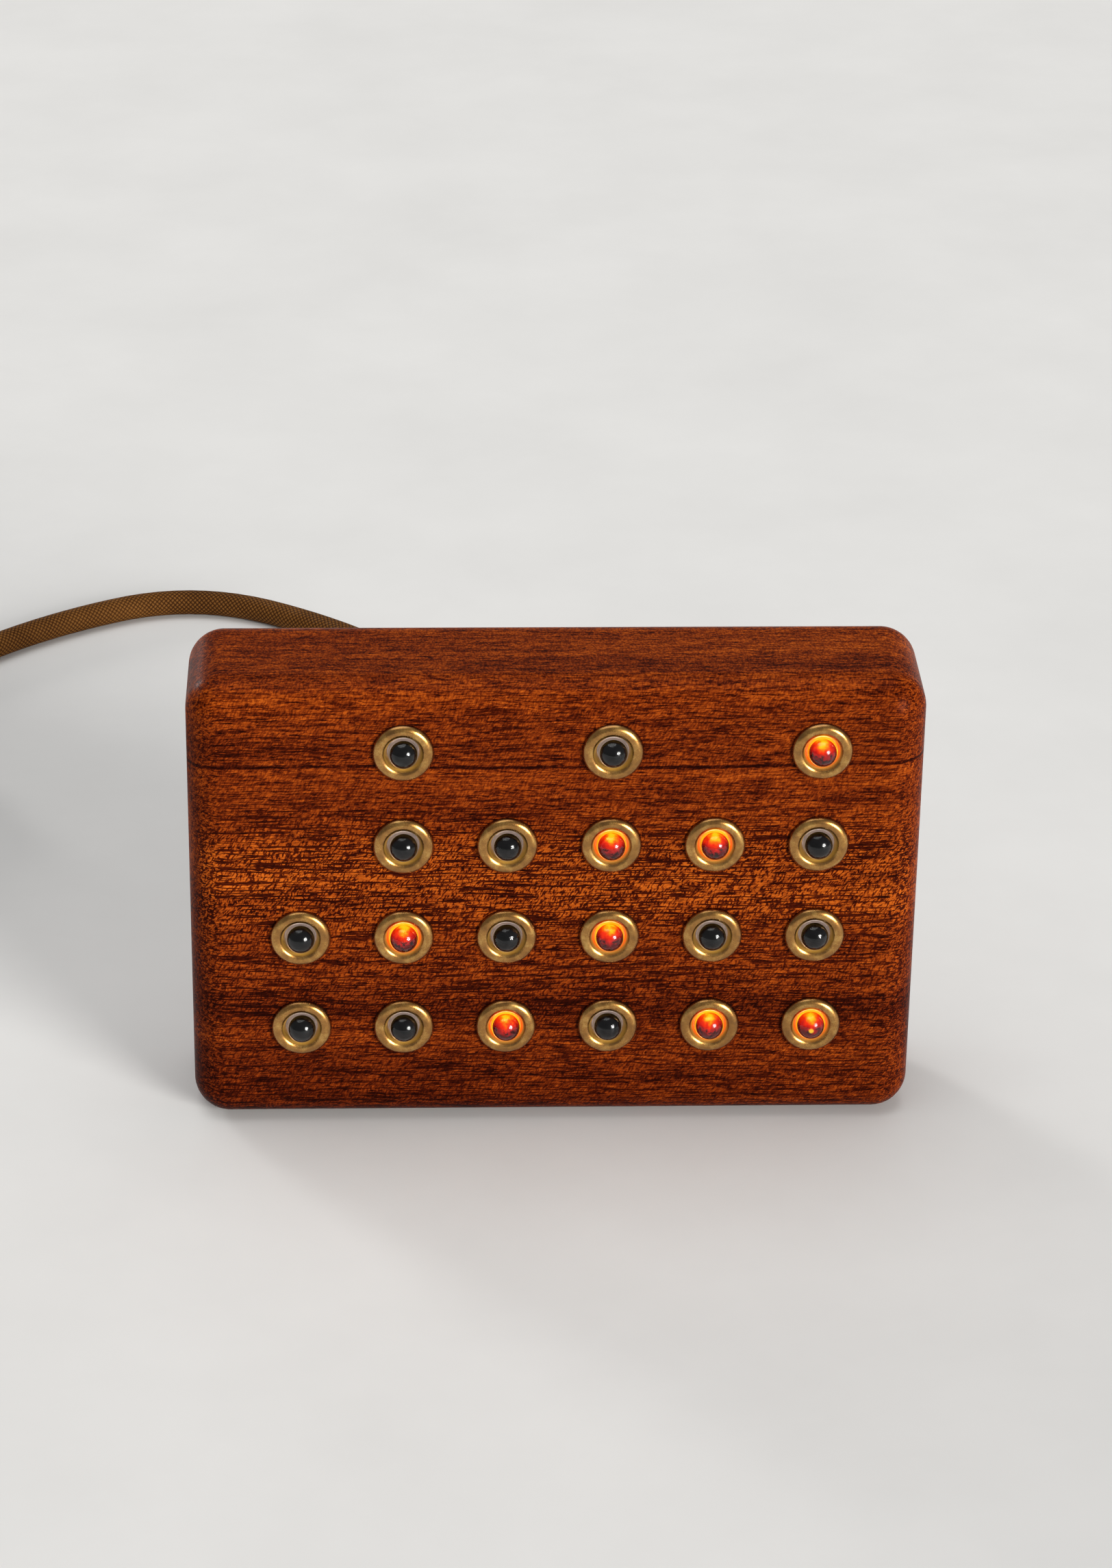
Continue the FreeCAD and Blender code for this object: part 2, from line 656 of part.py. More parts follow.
def make_chip(label, legs_per_side):
    """A dual-in-line chip: a moulded body between two rows of legs."""
    body = new_body(label)
    length = f"({legs_per_side - 1} * Sizes.chip_leg_pitch + 2 * Sizes.chip_end)"
    top = "(Sizes.chip_lift + Sizes.chip_height)"
    outline = new_sketch(body, "Outline", offset="Sizes.chip_lift")
    half, side = f"{length} / 2", "Sizes.chip_width / 2"
    corners = [(f"-{half}", f"-{side}"), (half, f"-{side}"), (half, side), (f"-{half}", side)]
    add_polygon(outline, corners)
    pad(body, outline, "Sizes.chip_height", "Moulding")

    legs = new_sketch(body, "LegOutlines")
    first = f"(-{half} + Sizes.chip_end)"
    near, far = f"{first} - Sizes.chip_leg_width / 2", f"{first} + Sizes.chip_leg_width / 2"
    out = f"({side} + Sizes.chip_leg_thickness)"
    add_polygon(legs, [(near, side), (far, side), (far, out), (near, out)])
    add_polygon(legs, [(near, f"-{out}"), (far, f"-{out}"), (far, f"-{side}"), (near, f"-{side}")])
    pair = pad(body, legs, f"{top} / 2", "LegPair")
    rows = body.newObject("PartDesign::LinearPattern", "LegRows")
    rows.Originals = [pair]
    rows.Direction = (legs, ["H_Axis"])
    rows.setExpression("Length", f"{legs_per_side - 1} * Sizes.chip_leg_pitch")
    rows.Occurrences = legs_per_side
    body.Tip = rows
    doc.recompute()
    return body


def make_cell_holder():
    """A shallow round tray for the backup cell."""
    radius = "(Sizes.cell_diameter / 2 + Sizes.cell_clearance)"
    outer = f"({radius} + Sizes.holder_wall)"
    profile = [
        ("0", "0"),
        (outer, "0"),
        (outer, "Sizes.holder_floor + Sizes.holder_rise"),
        (radius, "Sizes.holder_floor + Sizes.holder_rise"),
        (radius, "Sizes.holder_floor"),
        ("0", "Sizes.holder_floor"),
    ]
    return turned("cell_holder", profile)


def make_cylinder(label, diameter, length):
    """A plain cylinder standing on its own XY plane."""
    radius = f"{diameter} / 2"
    return turned(label, [("0", "0"), (radius, "0"), (radius, length), ("0", length)])


def make_grommet():
    """The strain relief: a flange inside the panel, a neck through it and a tapered nose outside."""
    nose = f"({GROMMET_NECK} + Sizes.grommet_shoulder)"
    tip = "(Sizes.cord_diameter / 2 + Sizes.grommet_tip_wall)"
    flange = f"({GROMMET_NECK} + Sizes.grommet_flange_reach)"
    inside = "-Sizes.panel_thickness"
    end = f"({inside} - Sizes.grommet_flange_thickness)"
    profile = [
        ("0", end),
        (flange, end),
        (flange, inside),
        (GROMMET_NECK, inside),
        (GROMMET_NECK, "0"),
        (nose, "0"),
        (tip, "Sizes.grommet_nose_length"),
        ("0", "Sizes.grommet_nose_length"),
    ]
    grommet = turned("cord_grommet", profile)
    return place(grommet, "0", PANEL_OUTSIDE, "Sizes.cord_exit_height", FACING_BACK)


def tube(points, diameter):
    """A tube along straight runs joined by tangent arcs, each arc as large as its two runs allow."""
    share = 0.45
    volume_tolerance = 0.002
    edges = []
    radii = []
    start = points[0]
    for before, corner, after in zip(points, points[1:], points[2:]):
        back, ahead = before - corner, after - corner
        reach = share * min(back.Length, ahead.Length)
        half_turn = (math.pi - back.getAngle(ahead)) / 2
        radius = reach / math.tan(half_turn)
        back.normalize()
        ahead.normalize()
        arc_start, arc_end = corner + back * reach, corner + ahead * reach
        inward = (back + ahead).normalize()
        depth = radius / math.cos(half_turn) - radius
        edges.append(Part.LineSegment(start, arc_start).toShape())
        edges.append(Part.Arc(arc_start, corner + inward * depth, arc_end).toShape())
        radii.append(radius)
        start = arc_end
    edges.append(Part.LineSegment(start, points[-1]).toShape())
    path = Part.Wire(edges)
    section = Part.Wire(Part.makeCircle(diameter / 2, points[0], points[1] - points[0]))
    shape = path.makePipeShell([section], True, False)
    ratio = shape.Volume / (math.pi * diameter**2 / 4 * path.Length)
    if abs(ratio - 1) > volume_tolerance:
        raise ValueError(f"the cord's volume is {ratio:.4f} of its section times its length")
    print("cord stretch of", round(path.Length, 1), "with radii", [round(r, 1) for r in radii])
    return shape


def make_cord():
    """The cord's free stretches: from the grommet to its coil, and from the coil to the plug."""
    diameter = value("Sizes.cord_diameter")
    lying = Vector(0, 0, diameter / 2)
    turn_radius = value(f"Sizes.coil_mean_diameter / 2 + {COIL_HALF_WIDTH} - Sizes.cord_diameter / 2")
    low_turn = value("Sizes.tie_thickness") + diameter / 2
    top_turn = value(f"Sizes.tie_thickness + {COIL_HEIGHT}") - diameter / 2
    x, y = COIL_CENTRE

    exit_point = Vector(0, value(CORD_EXIT), value("Sizes.cord_exit_height"))
    route = [exit_point, exit_point + Vector(0, EXIT_RUN, 0)]
    route += [Vector(*point) + lying for point in CORD_ROUTE]
    route.append(Vector(x, y + turn_radius, low_turn))

    plug_end = Vector(*PLUG_PLACE, value(PLUG_AXIS))
    tail = [Vector(x - turn_radius, y, top_turn)]
    tail += [Vector(*point) + lying for point in TAIL_ROUTE]
    tail += [plug_end + Vector(0, PLUG_RUN, 0), plug_end]

    cord = doc.addObject("Part::Feature", "cord_tube")
    cord.Label = "cord_tube"
    cord.Shape = Part.makeCompound([tube(route, diameter), tube(tail, diameter)])
    cord.Placement = FreeCAD.Placement()
    return cord


def make_coil():
    """The outer shape of the coiled cord, lying on its tie."""
    inner = f"(Sizes.coil_mean_diameter / 2 - {COIL_HALF_WIDTH})"
    outer = f"(Sizes.coil_mean_diameter / 2 + {COIL_HALF_WIDTH})"
    bevel = "Sizes.coil_bevel"
    profile = [
        (f"{inner} + {bevel}", "0"),
        (f"{outer} - {bevel}", "0"),
        (outer, bevel),
        (outer, f"{COIL_HEIGHT} - {bevel}"),
        (f"{outer} - {bevel}", COIL_HEIGHT),
        (f"{inner} + {bevel}", COIL_HEIGHT),
        (inner, f"{COIL_HEIGHT} - {bevel}"),
        (inner, bevel),
    ]
    coil = turned("cord_coil", profile)
    return place(coil, str(COIL_CENTRE[0]), str(COIL_CENTRE[1]), "Sizes.tie_thickness")


def make_tie():
    """A strap round one side of the coil."""
    body = new_body("cord_tie")
    reach = f"({COIL_HALF_WIDTH} + Sizes.tie_clearance)"
    thick = "Sizes.tie_thickness"
    outline = new_sketch(body, "Strap", "XZ_Plane")
    outside = (f"-{reach} - {thick}", f"{reach} + {thick}", "0", f"{COIL_HEIGHT} + 2 * {thick}")
    inside = (f"-{reach}", reach, thick, f"{COIL_HEIGHT} + {thick}")
    add_rounded_rectangle(outline, *outside, f"Sizes.tie_corner + {thick}")
    add_rounded_rectangle(outline, *inside, "Sizes.tie_corner")
    strap = pad(body, outline, "Sizes.tie_width", "Band")
    strap.Midplane = True
    x = f"{COIL_CENTRE[0]} + Sizes.coil_mean_diameter / 2"
    return place(body, x, str(COIL_CENTRE[1]), "0")


def flat_edges(shape, height):
    """Names of the edges of a shape that lie flat at a height."""
    boxes = enumerate((edge.BoundBox for edge in shape.Edges), start=1)
    return [f"Edge{i}" for i, box in boxes if abs(box.ZMin - height) + abs(box.ZMax - height) < FLATNESS]


def make_plug():
    """The plug: a moulded grip with a tapered boot, a metal shell, and a tongue with four contacts."""
    x = str(PLUG_PLACE[0])
    boot_end = str(PLUG_PLACE[1])
    grip = new_body("plug_grip")
    small = new_sketch(grip, "BootEnd")
    add_circles(small, [("0", "0")], "Sizes.cord_diameter + 2 * Sizes.boot_end_wall")
    large = new_sketch(grip, "BootRoot", offset="Sizes.boot_length")
    add_circles(large, [("0", "0")], "Sizes.grip_height - 2 * Sizes.boot_step")
    doc.recompute()
    boot = grip.newObject("PartDesign::AdditiveLoft", "Boot")
    boot.Profile = small
    boot.Sections = [large]
    doc.recompute()
    handle = new_sketch(grip, "HandleOutline", offset="Sizes.boot_length")
    half, side = "Sizes.grip_width / 2", "Sizes.grip_height / 2"
    add_rounded_rectangle(handle, f"-{half}", half, f"-{side}", side, "Sizes.grip_radius")
    grip_end = "(Sizes.boot_length + Sizes.grip_length)"
    solid = pad(grip, handle, "Sizes.grip_length", "Handle")
    bevel = grip.newObject("PartDesign::Chamfer", "HandleBevel")
    bevel.Base = (solid, flat_edges(solid.Shape, value(grip_end)))
    bevel.setExpression("Size", "Sizes.grip_bevel")
    doc.recompute()
    place(grip, x, boot_end, PLUG_AXIS, FACING_FRONT)

    tip = f"({boot_end} - {grip_end})"
    shell = new_body("plug_shell")
    half, side = "Sizes.shell_width / 2", "Sizes.shell_height / 2"
    outline = new_sketch(shell, "Outline")
    add_rounded_rectangle(outline, f"-{half}", half, f"-{side}", side, "Sizes.shell_corner")
    pad(shell, outline, "Sizes.shell_length")
    mouth = new_sketch(shell, "Mouth")
    half, side = f"({half} - Sizes.shell_wall)", f"({side} - Sizes.shell_wall)"
    corner = "Sizes.shell_corner - Sizes.shell_wall"
    add_rounded_rectangle(mouth, f"-{half}", half, f"-{side}", side, corner)
    cut(shell, mouth, name="MouthOpening")
    windows = new_sketch(shell, "Windows", "XZ_Plane")
    near = "Sizes.shell_window_reach"
    far = f"({near} + Sizes.shell_window)"
    for middle in ("-Sizes.shell_window_spread / 2", "Sizes.shell_window_spread / 2"):
        left, right = (f"{middle} {sign} Sizes.shell_window / 2" for sign in "-+")
        add_polygon(windows, [(left, near), (right, near), (right, far), (left, far)])
    cut(shell, windows, "Sizes.shell_height", name="LatchWindows").Midplane = True
    place(shell, x, tip, PLUG_AXIS, FACING_FRONT)

    tongue_length = "(Sizes.shell_length - Sizes.tongue_recess)"
    tongue_low = f"({PLUG_AXIS} + {side} - Sizes.insulator_thickness)"
    tongue_width = f"2 * ({half} - Sizes.shell_corner)"
    insulator = box("plug_insulator", tongue_width, "Sizes.insulator_thickness", tongue_length)
    middle = f"{tongue_low} + Sizes.insulator_thickness / 2"
    place(insulator, x, tip, middle, FACING_FRONT)

    contact = box("plug_contact", "Sizes.contact_width", "Sizes.contact_thickness", tongue_length)
    below = f"{tongue_low} - Sizes.contact_thickness / 2"
    spots = [(f"{x} + {step} * Sizes.contact_spacing", below) for step in (-1.5, -0.5, 0.5, 1.5)]
    contacts = repeated("plug_contacts", contact, spots, tip, FACING_FRONT)
    return [grip, shell, insulator, contacts]


def make_controller():
    """The microcontroller in its socket."""
    length = f"{CONTROLLER_LEGS - 1} * Sizes.chip_leg_pitch + 2 * (Sizes.chip_end + Sizes.socket_border)"
    width = "Sizes.chip_width + 2 * Sizes.socket_border"
    socket = box("controller_socket", length, width, "Sizes.socket_height")
    chip = make_chip("microcontroller", CONTROLLER_LEGS)
    return [on_board(socket, "controller"), on_board(chip, "controller", "Sizes.socket_height")]


def make_clock_parts():
    """The chip that keeps the time, its crystal, and the cell that backs it up."""
    crystal = make_cylinder("clock_crystal", "Sizes.crystal_diameter", "Sizes.crystal_length")
    lying = FreeCAD.Rotation(Vector(0, 1, 0), 90)
    axis = f"{BOARD_BACK} + Sizes.crystal_diameter / 2"
    cell = make_cylinder("backup_cell", "Sizes.cell_diameter", "Sizes.cell_thickness")
    return [
        on_board(make_chip("clock_chip", CLOCK_CHIP_LEGS), "clock_chip"),
        place(crystal, "Sizes.crystal_x", axis, "Sizes.crystal_z", lying),
        on_board(make_cell_holder(), "cell"),
        on_board(cell, "cell", "Sizes.holder_floor"),
    ]


def make_led_supply():
    """The chip that drives the digits, its resistors, and the smoothing capacitor."""
    network_sizes = ("Sizes.network_length", "Sizes.network_width", "Sizes.network_height")
    network = box("resistor_network", *network_sizes)
    can = make_cylinder("supply_capacitor", "Sizes.capacitor_diameter", "Sizes.capacitor_height")
    return [
        on_board(make_chip("digit_driver", DRIVER_LEGS), "driver"),
        on_board(network, "network"),
        on_board(can, "capacitor"),
    ]


def make_terminal():
    """The terminal block behind the cord's hole, and the two wires into it from the grommet."""
    block_sizes = ("Sizes.terminal_width", "Sizes.terminal_depth", "Sizes.terminal_height")
    terminal = box("terminal_block", *block_sizes)
    place(terminal, "0", BOARD_BACK, "Sizes.cord_exit_height", FACING_BACK)
    start = f"({BOARD_BACK} + Sizes.terminal_height)"
    length = f"{PANEL_INSIDE} - Sizes.grommet_flange_thickness - {start}"
    wire = make_cylinder("supply_wire", "Sizes.wire_diameter", length)
    spots = [(f"{side} * Sizes.wire_spacing / 2", "Sizes.cord_exit_height") for side in (-1, 1)]
    return [terminal, repeated("supply_wires", wire, spots, start, FACING_BACK)]


pieces = [
    make_wood_body(),
    make_eyelets(),
    make_leds(),
    make_led_leads(),
    make_circuit_board(),
    make_board_screws(),
    make_back_panel(),
    make_panel_screws(),
    make_switch("hour_switch", "Sizes.hour_button_x"),
    make_switch("minute_switch", "Sizes.minute_button_x"),
    make_button("hour_button", "Sizes.hour_button_x"),
    make_button("minute_button", "Sizes.minute_button_x"),
    *make_controller(),
    *make_clock_parts(),
    *make_led_supply(),
    *make_terminal(),
    make_grommet(),
    make_cord(),
    make_coil(),
    make_tie(),
    *make_plug(),
]

doc.recompute()
for item in doc.Objects:
    if "Invalid" in item.State or "Error" in item.State:
        raise ValueError(f"{item.Label} failed: {item.State}")
for piece in pieces:
    if piece.Shape.isNull() or not piece.Shape.isValid():
        raise ValueError(f"{piece.Label} has no valid shape")
os.makedirs("parts", exist_ok=True)
for piece in pieces:
    piece.Shape.exportStep(f"parts/{piece.Label}.step")
print(len(pieces), "sub-parts written")
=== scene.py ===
"""Looks of the binary clock. Lengths are in millimetres until a piece is made, which turns them to metres."""

import math

import bmesh
import bpy
from mathutils import Matrix, Vector


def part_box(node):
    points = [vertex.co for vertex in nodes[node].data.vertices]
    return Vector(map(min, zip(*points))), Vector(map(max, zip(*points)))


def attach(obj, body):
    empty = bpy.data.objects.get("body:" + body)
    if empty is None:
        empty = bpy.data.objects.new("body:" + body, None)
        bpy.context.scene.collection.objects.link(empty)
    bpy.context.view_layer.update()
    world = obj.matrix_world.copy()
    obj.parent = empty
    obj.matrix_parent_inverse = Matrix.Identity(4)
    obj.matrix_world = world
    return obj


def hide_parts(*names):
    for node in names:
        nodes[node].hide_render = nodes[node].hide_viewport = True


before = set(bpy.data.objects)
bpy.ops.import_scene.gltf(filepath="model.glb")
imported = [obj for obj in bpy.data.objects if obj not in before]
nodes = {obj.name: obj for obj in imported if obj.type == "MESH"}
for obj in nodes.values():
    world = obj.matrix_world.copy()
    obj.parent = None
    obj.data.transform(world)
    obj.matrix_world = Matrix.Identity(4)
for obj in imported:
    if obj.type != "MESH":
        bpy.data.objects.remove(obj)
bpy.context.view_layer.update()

MM = 0.001

# Camera: its focal length in pixels of a photograph so many pixels high, its sensor in millimetres, where it
# stands in metres, how it is turned in degrees, and how near it still sees in metres
PHOTO_HEIGHT = 2290
FOCAL_LENGTH = 6553
SENSOR = 36.0
CAMERA_PLACE = Vector((-0.02840, -0.66257, 0.39542))
CAMERA_PITCH = 27.06
CAMERA_YAW = 2.49
CAMERA_ROLL = 0.86
NEAREST_SEEN = 0.02

# LED field: LEDs in each column, and the ones that are lit, as (row, column) from the bottom left
DIGIT_LEDS = (2, 4, 3, 4, 3, 4)
LIT = {(4, 6), (3, 4), (3, 5), (2, 2), (2, 4), (1, 3), (1, 5), (1, 6)}
SPARKLING = (1, 6)
LED_RADIUS = 2.5
LED_LENGTH = 8.7
LED_SIDES = 48
CORE_RADIUS = 1.48
CORE_OFFSET = (0.04, -0.15)
CORE_SIDES = 40
# Sleeve of glue: its gaps to the LED and to the eyelet, the heights of its bottom and of the floor inside it,
# and how far below the start of the LED's dome its rim lies outside and inside
SLEEVE_GAPS = (0.06, 0.01)
SLEEVE_BOTTOM, SLEEVE_FLOOR = 1.5, 1.7
SLEEVE_RIM = (0.55, 0.45)

# Eyelets: radii of the lip, of the crown's middle, of the rim and of the hole, and heights over the wood
LIP = 2.95
CROWN = 3.92
RIM = 5.04
THROAT = 2.62
EYELET_WALL = 0.25
EYELET_SIDES = 72
CROWN_HEIGHT = 1.1
LIP_HEIGHT = 0.3
BARREL_END = -4.0
# Where the crown's inner side turns into the funnel, in degrees round the crown, and the funnel down from it
FUNNEL_START = 155
FUNNEL = [(2.93, 0.44), (2.84, 0.24), (2.76, 0.02), (2.70, -0.20), (2.65, -0.42), (THROAT, -0.65)]
# How far outside the lip the throat's painted light and a lit LED's painted glow begin, over what width they
# rise, and how wide the rim darkened by tarnish and painted shade is
THROAT_START, THROAT_WIDTH = 0.3, 0.3
GLOW_START, GLOW_WIDTH = 0.05, 0.2
TARNISH_AND_SHADE_WIDTH = 0.2

# Cord: its route over the table, and the round coil that its unseen length is put away in
CORD_DIAMETER = 5.0
CORD_SIDES = 32
POINTS_PER_RUN = 10
CORD_ROUTE = [
    (0.0, 24.0, 14.0),
    (0.0, 46.0, 14.0),
    (1.0, 80.0, 5.5),
    (-2.0, 114.0, 2.5),
    (-13.0, 146.0, 2.5),
    (-34.0, 174.0, 2.5),
    (-67.0, 194.5, 2.5),
    (-99.0, 178.0, 2.5),
    (-125.0, 150.0, 2.6),
]
TAIL_ROUTE = [
    (-180.5, 97.0, 5.9),
    (-185.5, 82.5, 3.75),
    (-185.5, 67.0, 3.75),
]
COIL_CENTRE = (-148.0, 112.5)
COIL_START = 90
COIL_TURNS = 5.25
COIL_POINTS = 14
# (turn, radius of the turns' middle) and (turn, height of the turns' middle), with straight stretches between
COIL_RADII = [
    (0.0, 31), (0.78, 31), (0.98, 26), (1.78, 26), (1.98, 21),
    (3.6, 21), (3.8, 26), (4.6, 26), (4.8, 31),
]
COIL_HEIGHTS = [(0.0, 3.1), (2.66, 3.1), (2.86, 8.1)]

# Stage: the floor's side in metres, how many millimetres it lies below the clock, its shades, and the world's
# brightness
FLOOR_SIDE = 10.0
FLOOR_DROP = 0.05
FLOOR_SHADES = (0.76, 0.755, 0.74), (0.80, 0.795, 0.78)
WORLD_LEVEL = 0.27
# Lamps: name, the direction it stands in, how wide it looks in radians, power and colour
LAMPS = [
    ("key", (0.62, -0.74, 0.26), 0.42, 3.5, (1.0, 0.985, 0.96)),
    ("back", (-0.60, 0.76, 0.24), 0.22, 1.1, (1.0, 0.985, 0.97)),
    ("above", (-0.15, 0.10, 0.98), 0.9, 1.05, (1.0, 1.0, 1.0)),
]


def between(table, place):
    """The value that a table of (place, value) pairs has at a place, straight between its entries."""
    for (place_a, value_a), (place_b, value_b) in zip(table, table[1:]):
        if place < place_b:
            share = max(0.0, (place - place_a) / (place_b - place_a))
            return value_a + share * (value_b - value_a)
    return table[-1][1]


# ---------------------------------------------------------------------------------------------- finishes


class Finish:
    """A material in the making, with short ways to add and join its nodes."""

    def __init__(self, name):
        self.material = bpy.data.materials.new(name)
        self.material.use_nodes = True
        self.tree = self.material.node_tree
        self.shader = self.tree.nodes["Principled BSDF"]

    def feed(self, value, socket):
        """Joins a socket to another, or sets it."""
        if isinstance(value, bpy.types.NodeSocket):
            self.tree.links.new(value, socket)
        else:
            socket.default_value = value

    def node(self, kind, **settings):
        made = self.tree.nodes.new("ShaderNode" + kind)
        for setting, value in settings.items():
            setattr(made, setting, value)
        return made

    def set(self, **values):
        """Sets or feeds inputs of the shader; a name's underscores stand for spaces."""
        for name, value in values.items():
            self.feed(value, self.shader.inputs[name.replace("_", " ")])
        return self

    def math(self, operation, a, b=0.0, c=0.0, clamp=False):
        made = self.node("Math", operation=operation, use_clamp=clamp)
        for value, socket in zip((a, b, c), made.inputs):
            self.feed(value, socket)
        return made.outputs[0]

    def run(self, value, at_0, at_1):
        """Turns 0..1 into at_0..at_1, straight and not held at its ends."""
        return self.math("MULTIPLY_ADD", value, at_1 - at_0, at_0)

    def around(self, value, reach):
        """Turns 0..1 into minus half of reach to plus half of reach."""
        return self.run(value, -reach / 2, reach / 2)

    def span(self, value, edges, to_low=0.0, to_high=1.0):
        """Turns low..high into to_low..to_high, smoothly and held at both ends."""
        made = self.node("MapRange", interpolation_type="SMOOTHSTEP")
        for socket, number in zip(made.inputs, (value, *edges, to_low, to_high)):
            self.feed(number, socket)
        return made.outputs[0]

    def hump(self, share):
        """0 at both ends of 0..1 and 1 in the middle, round like a strand."""
        centred = self.run(share, -1.0, 1.0)
        return self.math("SUBTRACT", 1.0, self.math("MULTIPLY", centred, centred))

    def vector(self, operation, a, b):
        made = self.node("VectorMath", operation=operation)
        self.feed(a, made.inputs[0])
        self.feed(b, made.inputs[1])
        return made.outputs[0]

    def split(self, vector):
        """The X, Y and Z of a vector."""
        made = self.node("SeparateXYZ")
        self.feed(vector, made.inputs[0])
        return made.outputs[:]

    def position(self):
        """The place on the object in its own frame, in millimetres."""
        place = self.node("TexCoord").outputs["Object"]
        return self.vector("MULTIPLY", place, (1 / MM,) * 3)

    def attribute(self, name):
        """A number that paint() gave the mesh."""
        return self.node("Attribute", attribute_name=name).outputs["Fac"]

    def noise(self, place, scales, detail=2.0, roughness=0.5, output="Fac"):
        """Noise with so many features per millimetre along each axis, or along all alike."""
        if isinstance(scales, float):
            scales = (scales,) * 3
        made = self.node("TexNoise")
        self.feed(self.vector("MULTIPLY", place, scales), made.inputs["Vector"])
        made.inputs["Scale"].default_value = 1.0
        made.inputs["Detail"].default_value = detail
        made.inputs["Roughness"].default_value = roughness
        return made.outputs[output]

    def warped(self, place, scales, reach):
        """The place moved about by noise, by up to half of reach each way."""
        shift = self.noise(place, scales, output="Color")
        centred = self.vector("SUBTRACT", shift, (0.5, 0.5, 0.5))
        return self.vector("ADD", place, self.vector("MULTIPLY", centred, reach))

    def ramp(self, value, stops):
        """A colour ramp through (place, colour or number) stops."""
        made = self.node("ValToRGB")
        elements = made.color_ramp.elements
        while len(elements) < len(stops):
            elements.new(1.0)
        for element, (place, colour) in zip(elements, stops):
            element.position = place
            element.color = (*colour, 1.0) if isinstance(colour, tuple) else (colour,) * 3 + (1.0,)
        self.feed(value, made.inputs[0])
        return made.outputs[0]

    def mix(self, share, a, b):
        """The colour that lies a share of the way from a to b, either of them a colour or a socket."""
        made = self.node("Mix", data_type="RGBA")
        self.feed(share, made.inputs["Factor"])
        for name, value in (("A", a), ("B", b)):
            self.feed((*value, 1.0) if isinstance(value, tuple) else value, colour_socket(made.inputs, name))
        return colour_socket(made.outputs, "Result")

    def bump(self, height, depth):
        """Relief of so many millimetres where height goes from 0 to 1."""
        made = self.node("Bump")
        made.inputs["Strength"].default_value = 1.0
        made.inputs["Distance"].default_value = depth * MM
        self.feed(height, made.inputs["Height"])
        self.feed(made.outputs[0], self.shader.inputs["Normal"])
        return self


def colour_socket(sockets, name):
    """A Mix node has a socket of each name for each kind of value: this finds the colour one."""
    return next(s for s in sockets if s.name == name and s.type == "RGBA")


# Wood: its shades from the darkest to the brightest, which the shade runs through from 0 to 1
WOOD_SHADES = [
    (0.00, (0.012, 0.0012, 0.0004)),
    (0.25, (0.048, 0.0048, 0.0010)),
    (0.50, (0.165, 0.0225, 0.0025)),
    (0.72, (0.340, 0.0600, 0.0050)),
    (1.00, (0.640, 0.1450, 0.0120)),
]
# Its noises, in features per millimetre along the grain, into the block and up it. DRIFT and WANDER move the
# pattern by up to half of their reach in millimetres, and the others' reach is in shades. The edges are the
# two values of a noise between which a spot fades in.
DRIFT, DRIFT_REACH = (0.010, 0.045, 0.045), (0.0, 5.0, 4.0)
WANDER, WANDER_REACH = (0.20, 0.6, 0.6), (1.2, 0.4, 0.5)
BROAD, BROAD_REACH = (0.004, 0.10, 0.12), 0.75
STREAKS, STREAKS_REACH = (0.10, 0.45, 1.0), 0.48
THREADS, THREADS_REACH = (0.80, 3.0, 5.0), 0.60
FLECKS, FLECK_EDGES, FLECKS_REACH = (1.1, 1.7, 3.6), (0.40, 0.60), 0.20
CUTS, CUT_EDGES, CUTS_REACH = (0.16, 2.4, 3.4), (0.43, 0.49), 0.16
PORES, PORE_EDGES, PORES_REACH = (0.75, 6.0, 6.0), (0.60, 0.70), -0.24
# The cross figure: blotches that lean over by so many degrees, cut into dashes by thin level lines
BLOTCHES, BLOTCH_EDGES, FIGURE_REACH = (1.2, 1.6, 3.4), (0.37, 0.56), 0.60
FIGURE_MIDDLE = 0.45
FIGURE_LEAN = 58.0
# It loses FADE of its strength between two depths in the block, and all of it where the surface turns so far
# towards the grain that it shows end grain
FADE_EDGES, FADE = (-8.0, 6.0), 0.7
END_GRAIN_EDGES = (0.55, 0.9)
# How strong flecks and cuts are where there is no cross figure; where there is, it takes from that
FINE_STRENGTH = 1.1
# The dark growth line: how far from its middle it begins and ends to fade, and how much darker it is
LINE_EDGES, LINE_REACH = (0.05, 0.45), 0.36
# The wood's relief in millimetres, and the shares that threads and pores have in it
WOOD_RELIEF, THREAD_RELIEF, PORE_RELIEF = 0.045, 0.35, -0.7

# (height as a share of the block's, strength of the cross figure) and (the same height, tone)
BLOCK_HEIGHT = 81.0
BLOCK_FIGURE = [
    (0.00, 0.30),
    (0.16, 0.35),
    (0.30, 0.50),
    (0.44, 0.60),
    (0.50, 0.95),
    (0.63, 1.00),
    (0.70, 0.50),
    (0.78, 0.12),
    (0.86, 0.25),
    (0.94, 0.30),
    (1.00, 0.05),
]
BLOCK_TONE = [
    (0.00, 0.29),
    (0.18, 0.30),
    (0.34, 0.30),
    (0.47, 0.42),
    (0.60, 0.49),
    (0.70, 0.43),
    (0.78, 0.42),
    (0.88, 0.42),
    (0.96, 0.43),
    (1.00, 0.48),
]
PANEL_FIGURE = [(0.0, 0.10), (1.0, 0.20)]
PANEL_TONE = [(0.0, 0.38), (1.0, 0.42)]
# The height of the dark growth line, and how far the piece's pattern is moved
BLOCK_LINE, BLOCK_START = 66.8, (0.0, 0.0, 0.0)
PANEL_LINE, PANEL_START = 30.0, (310.0, 70.0, 40.0)


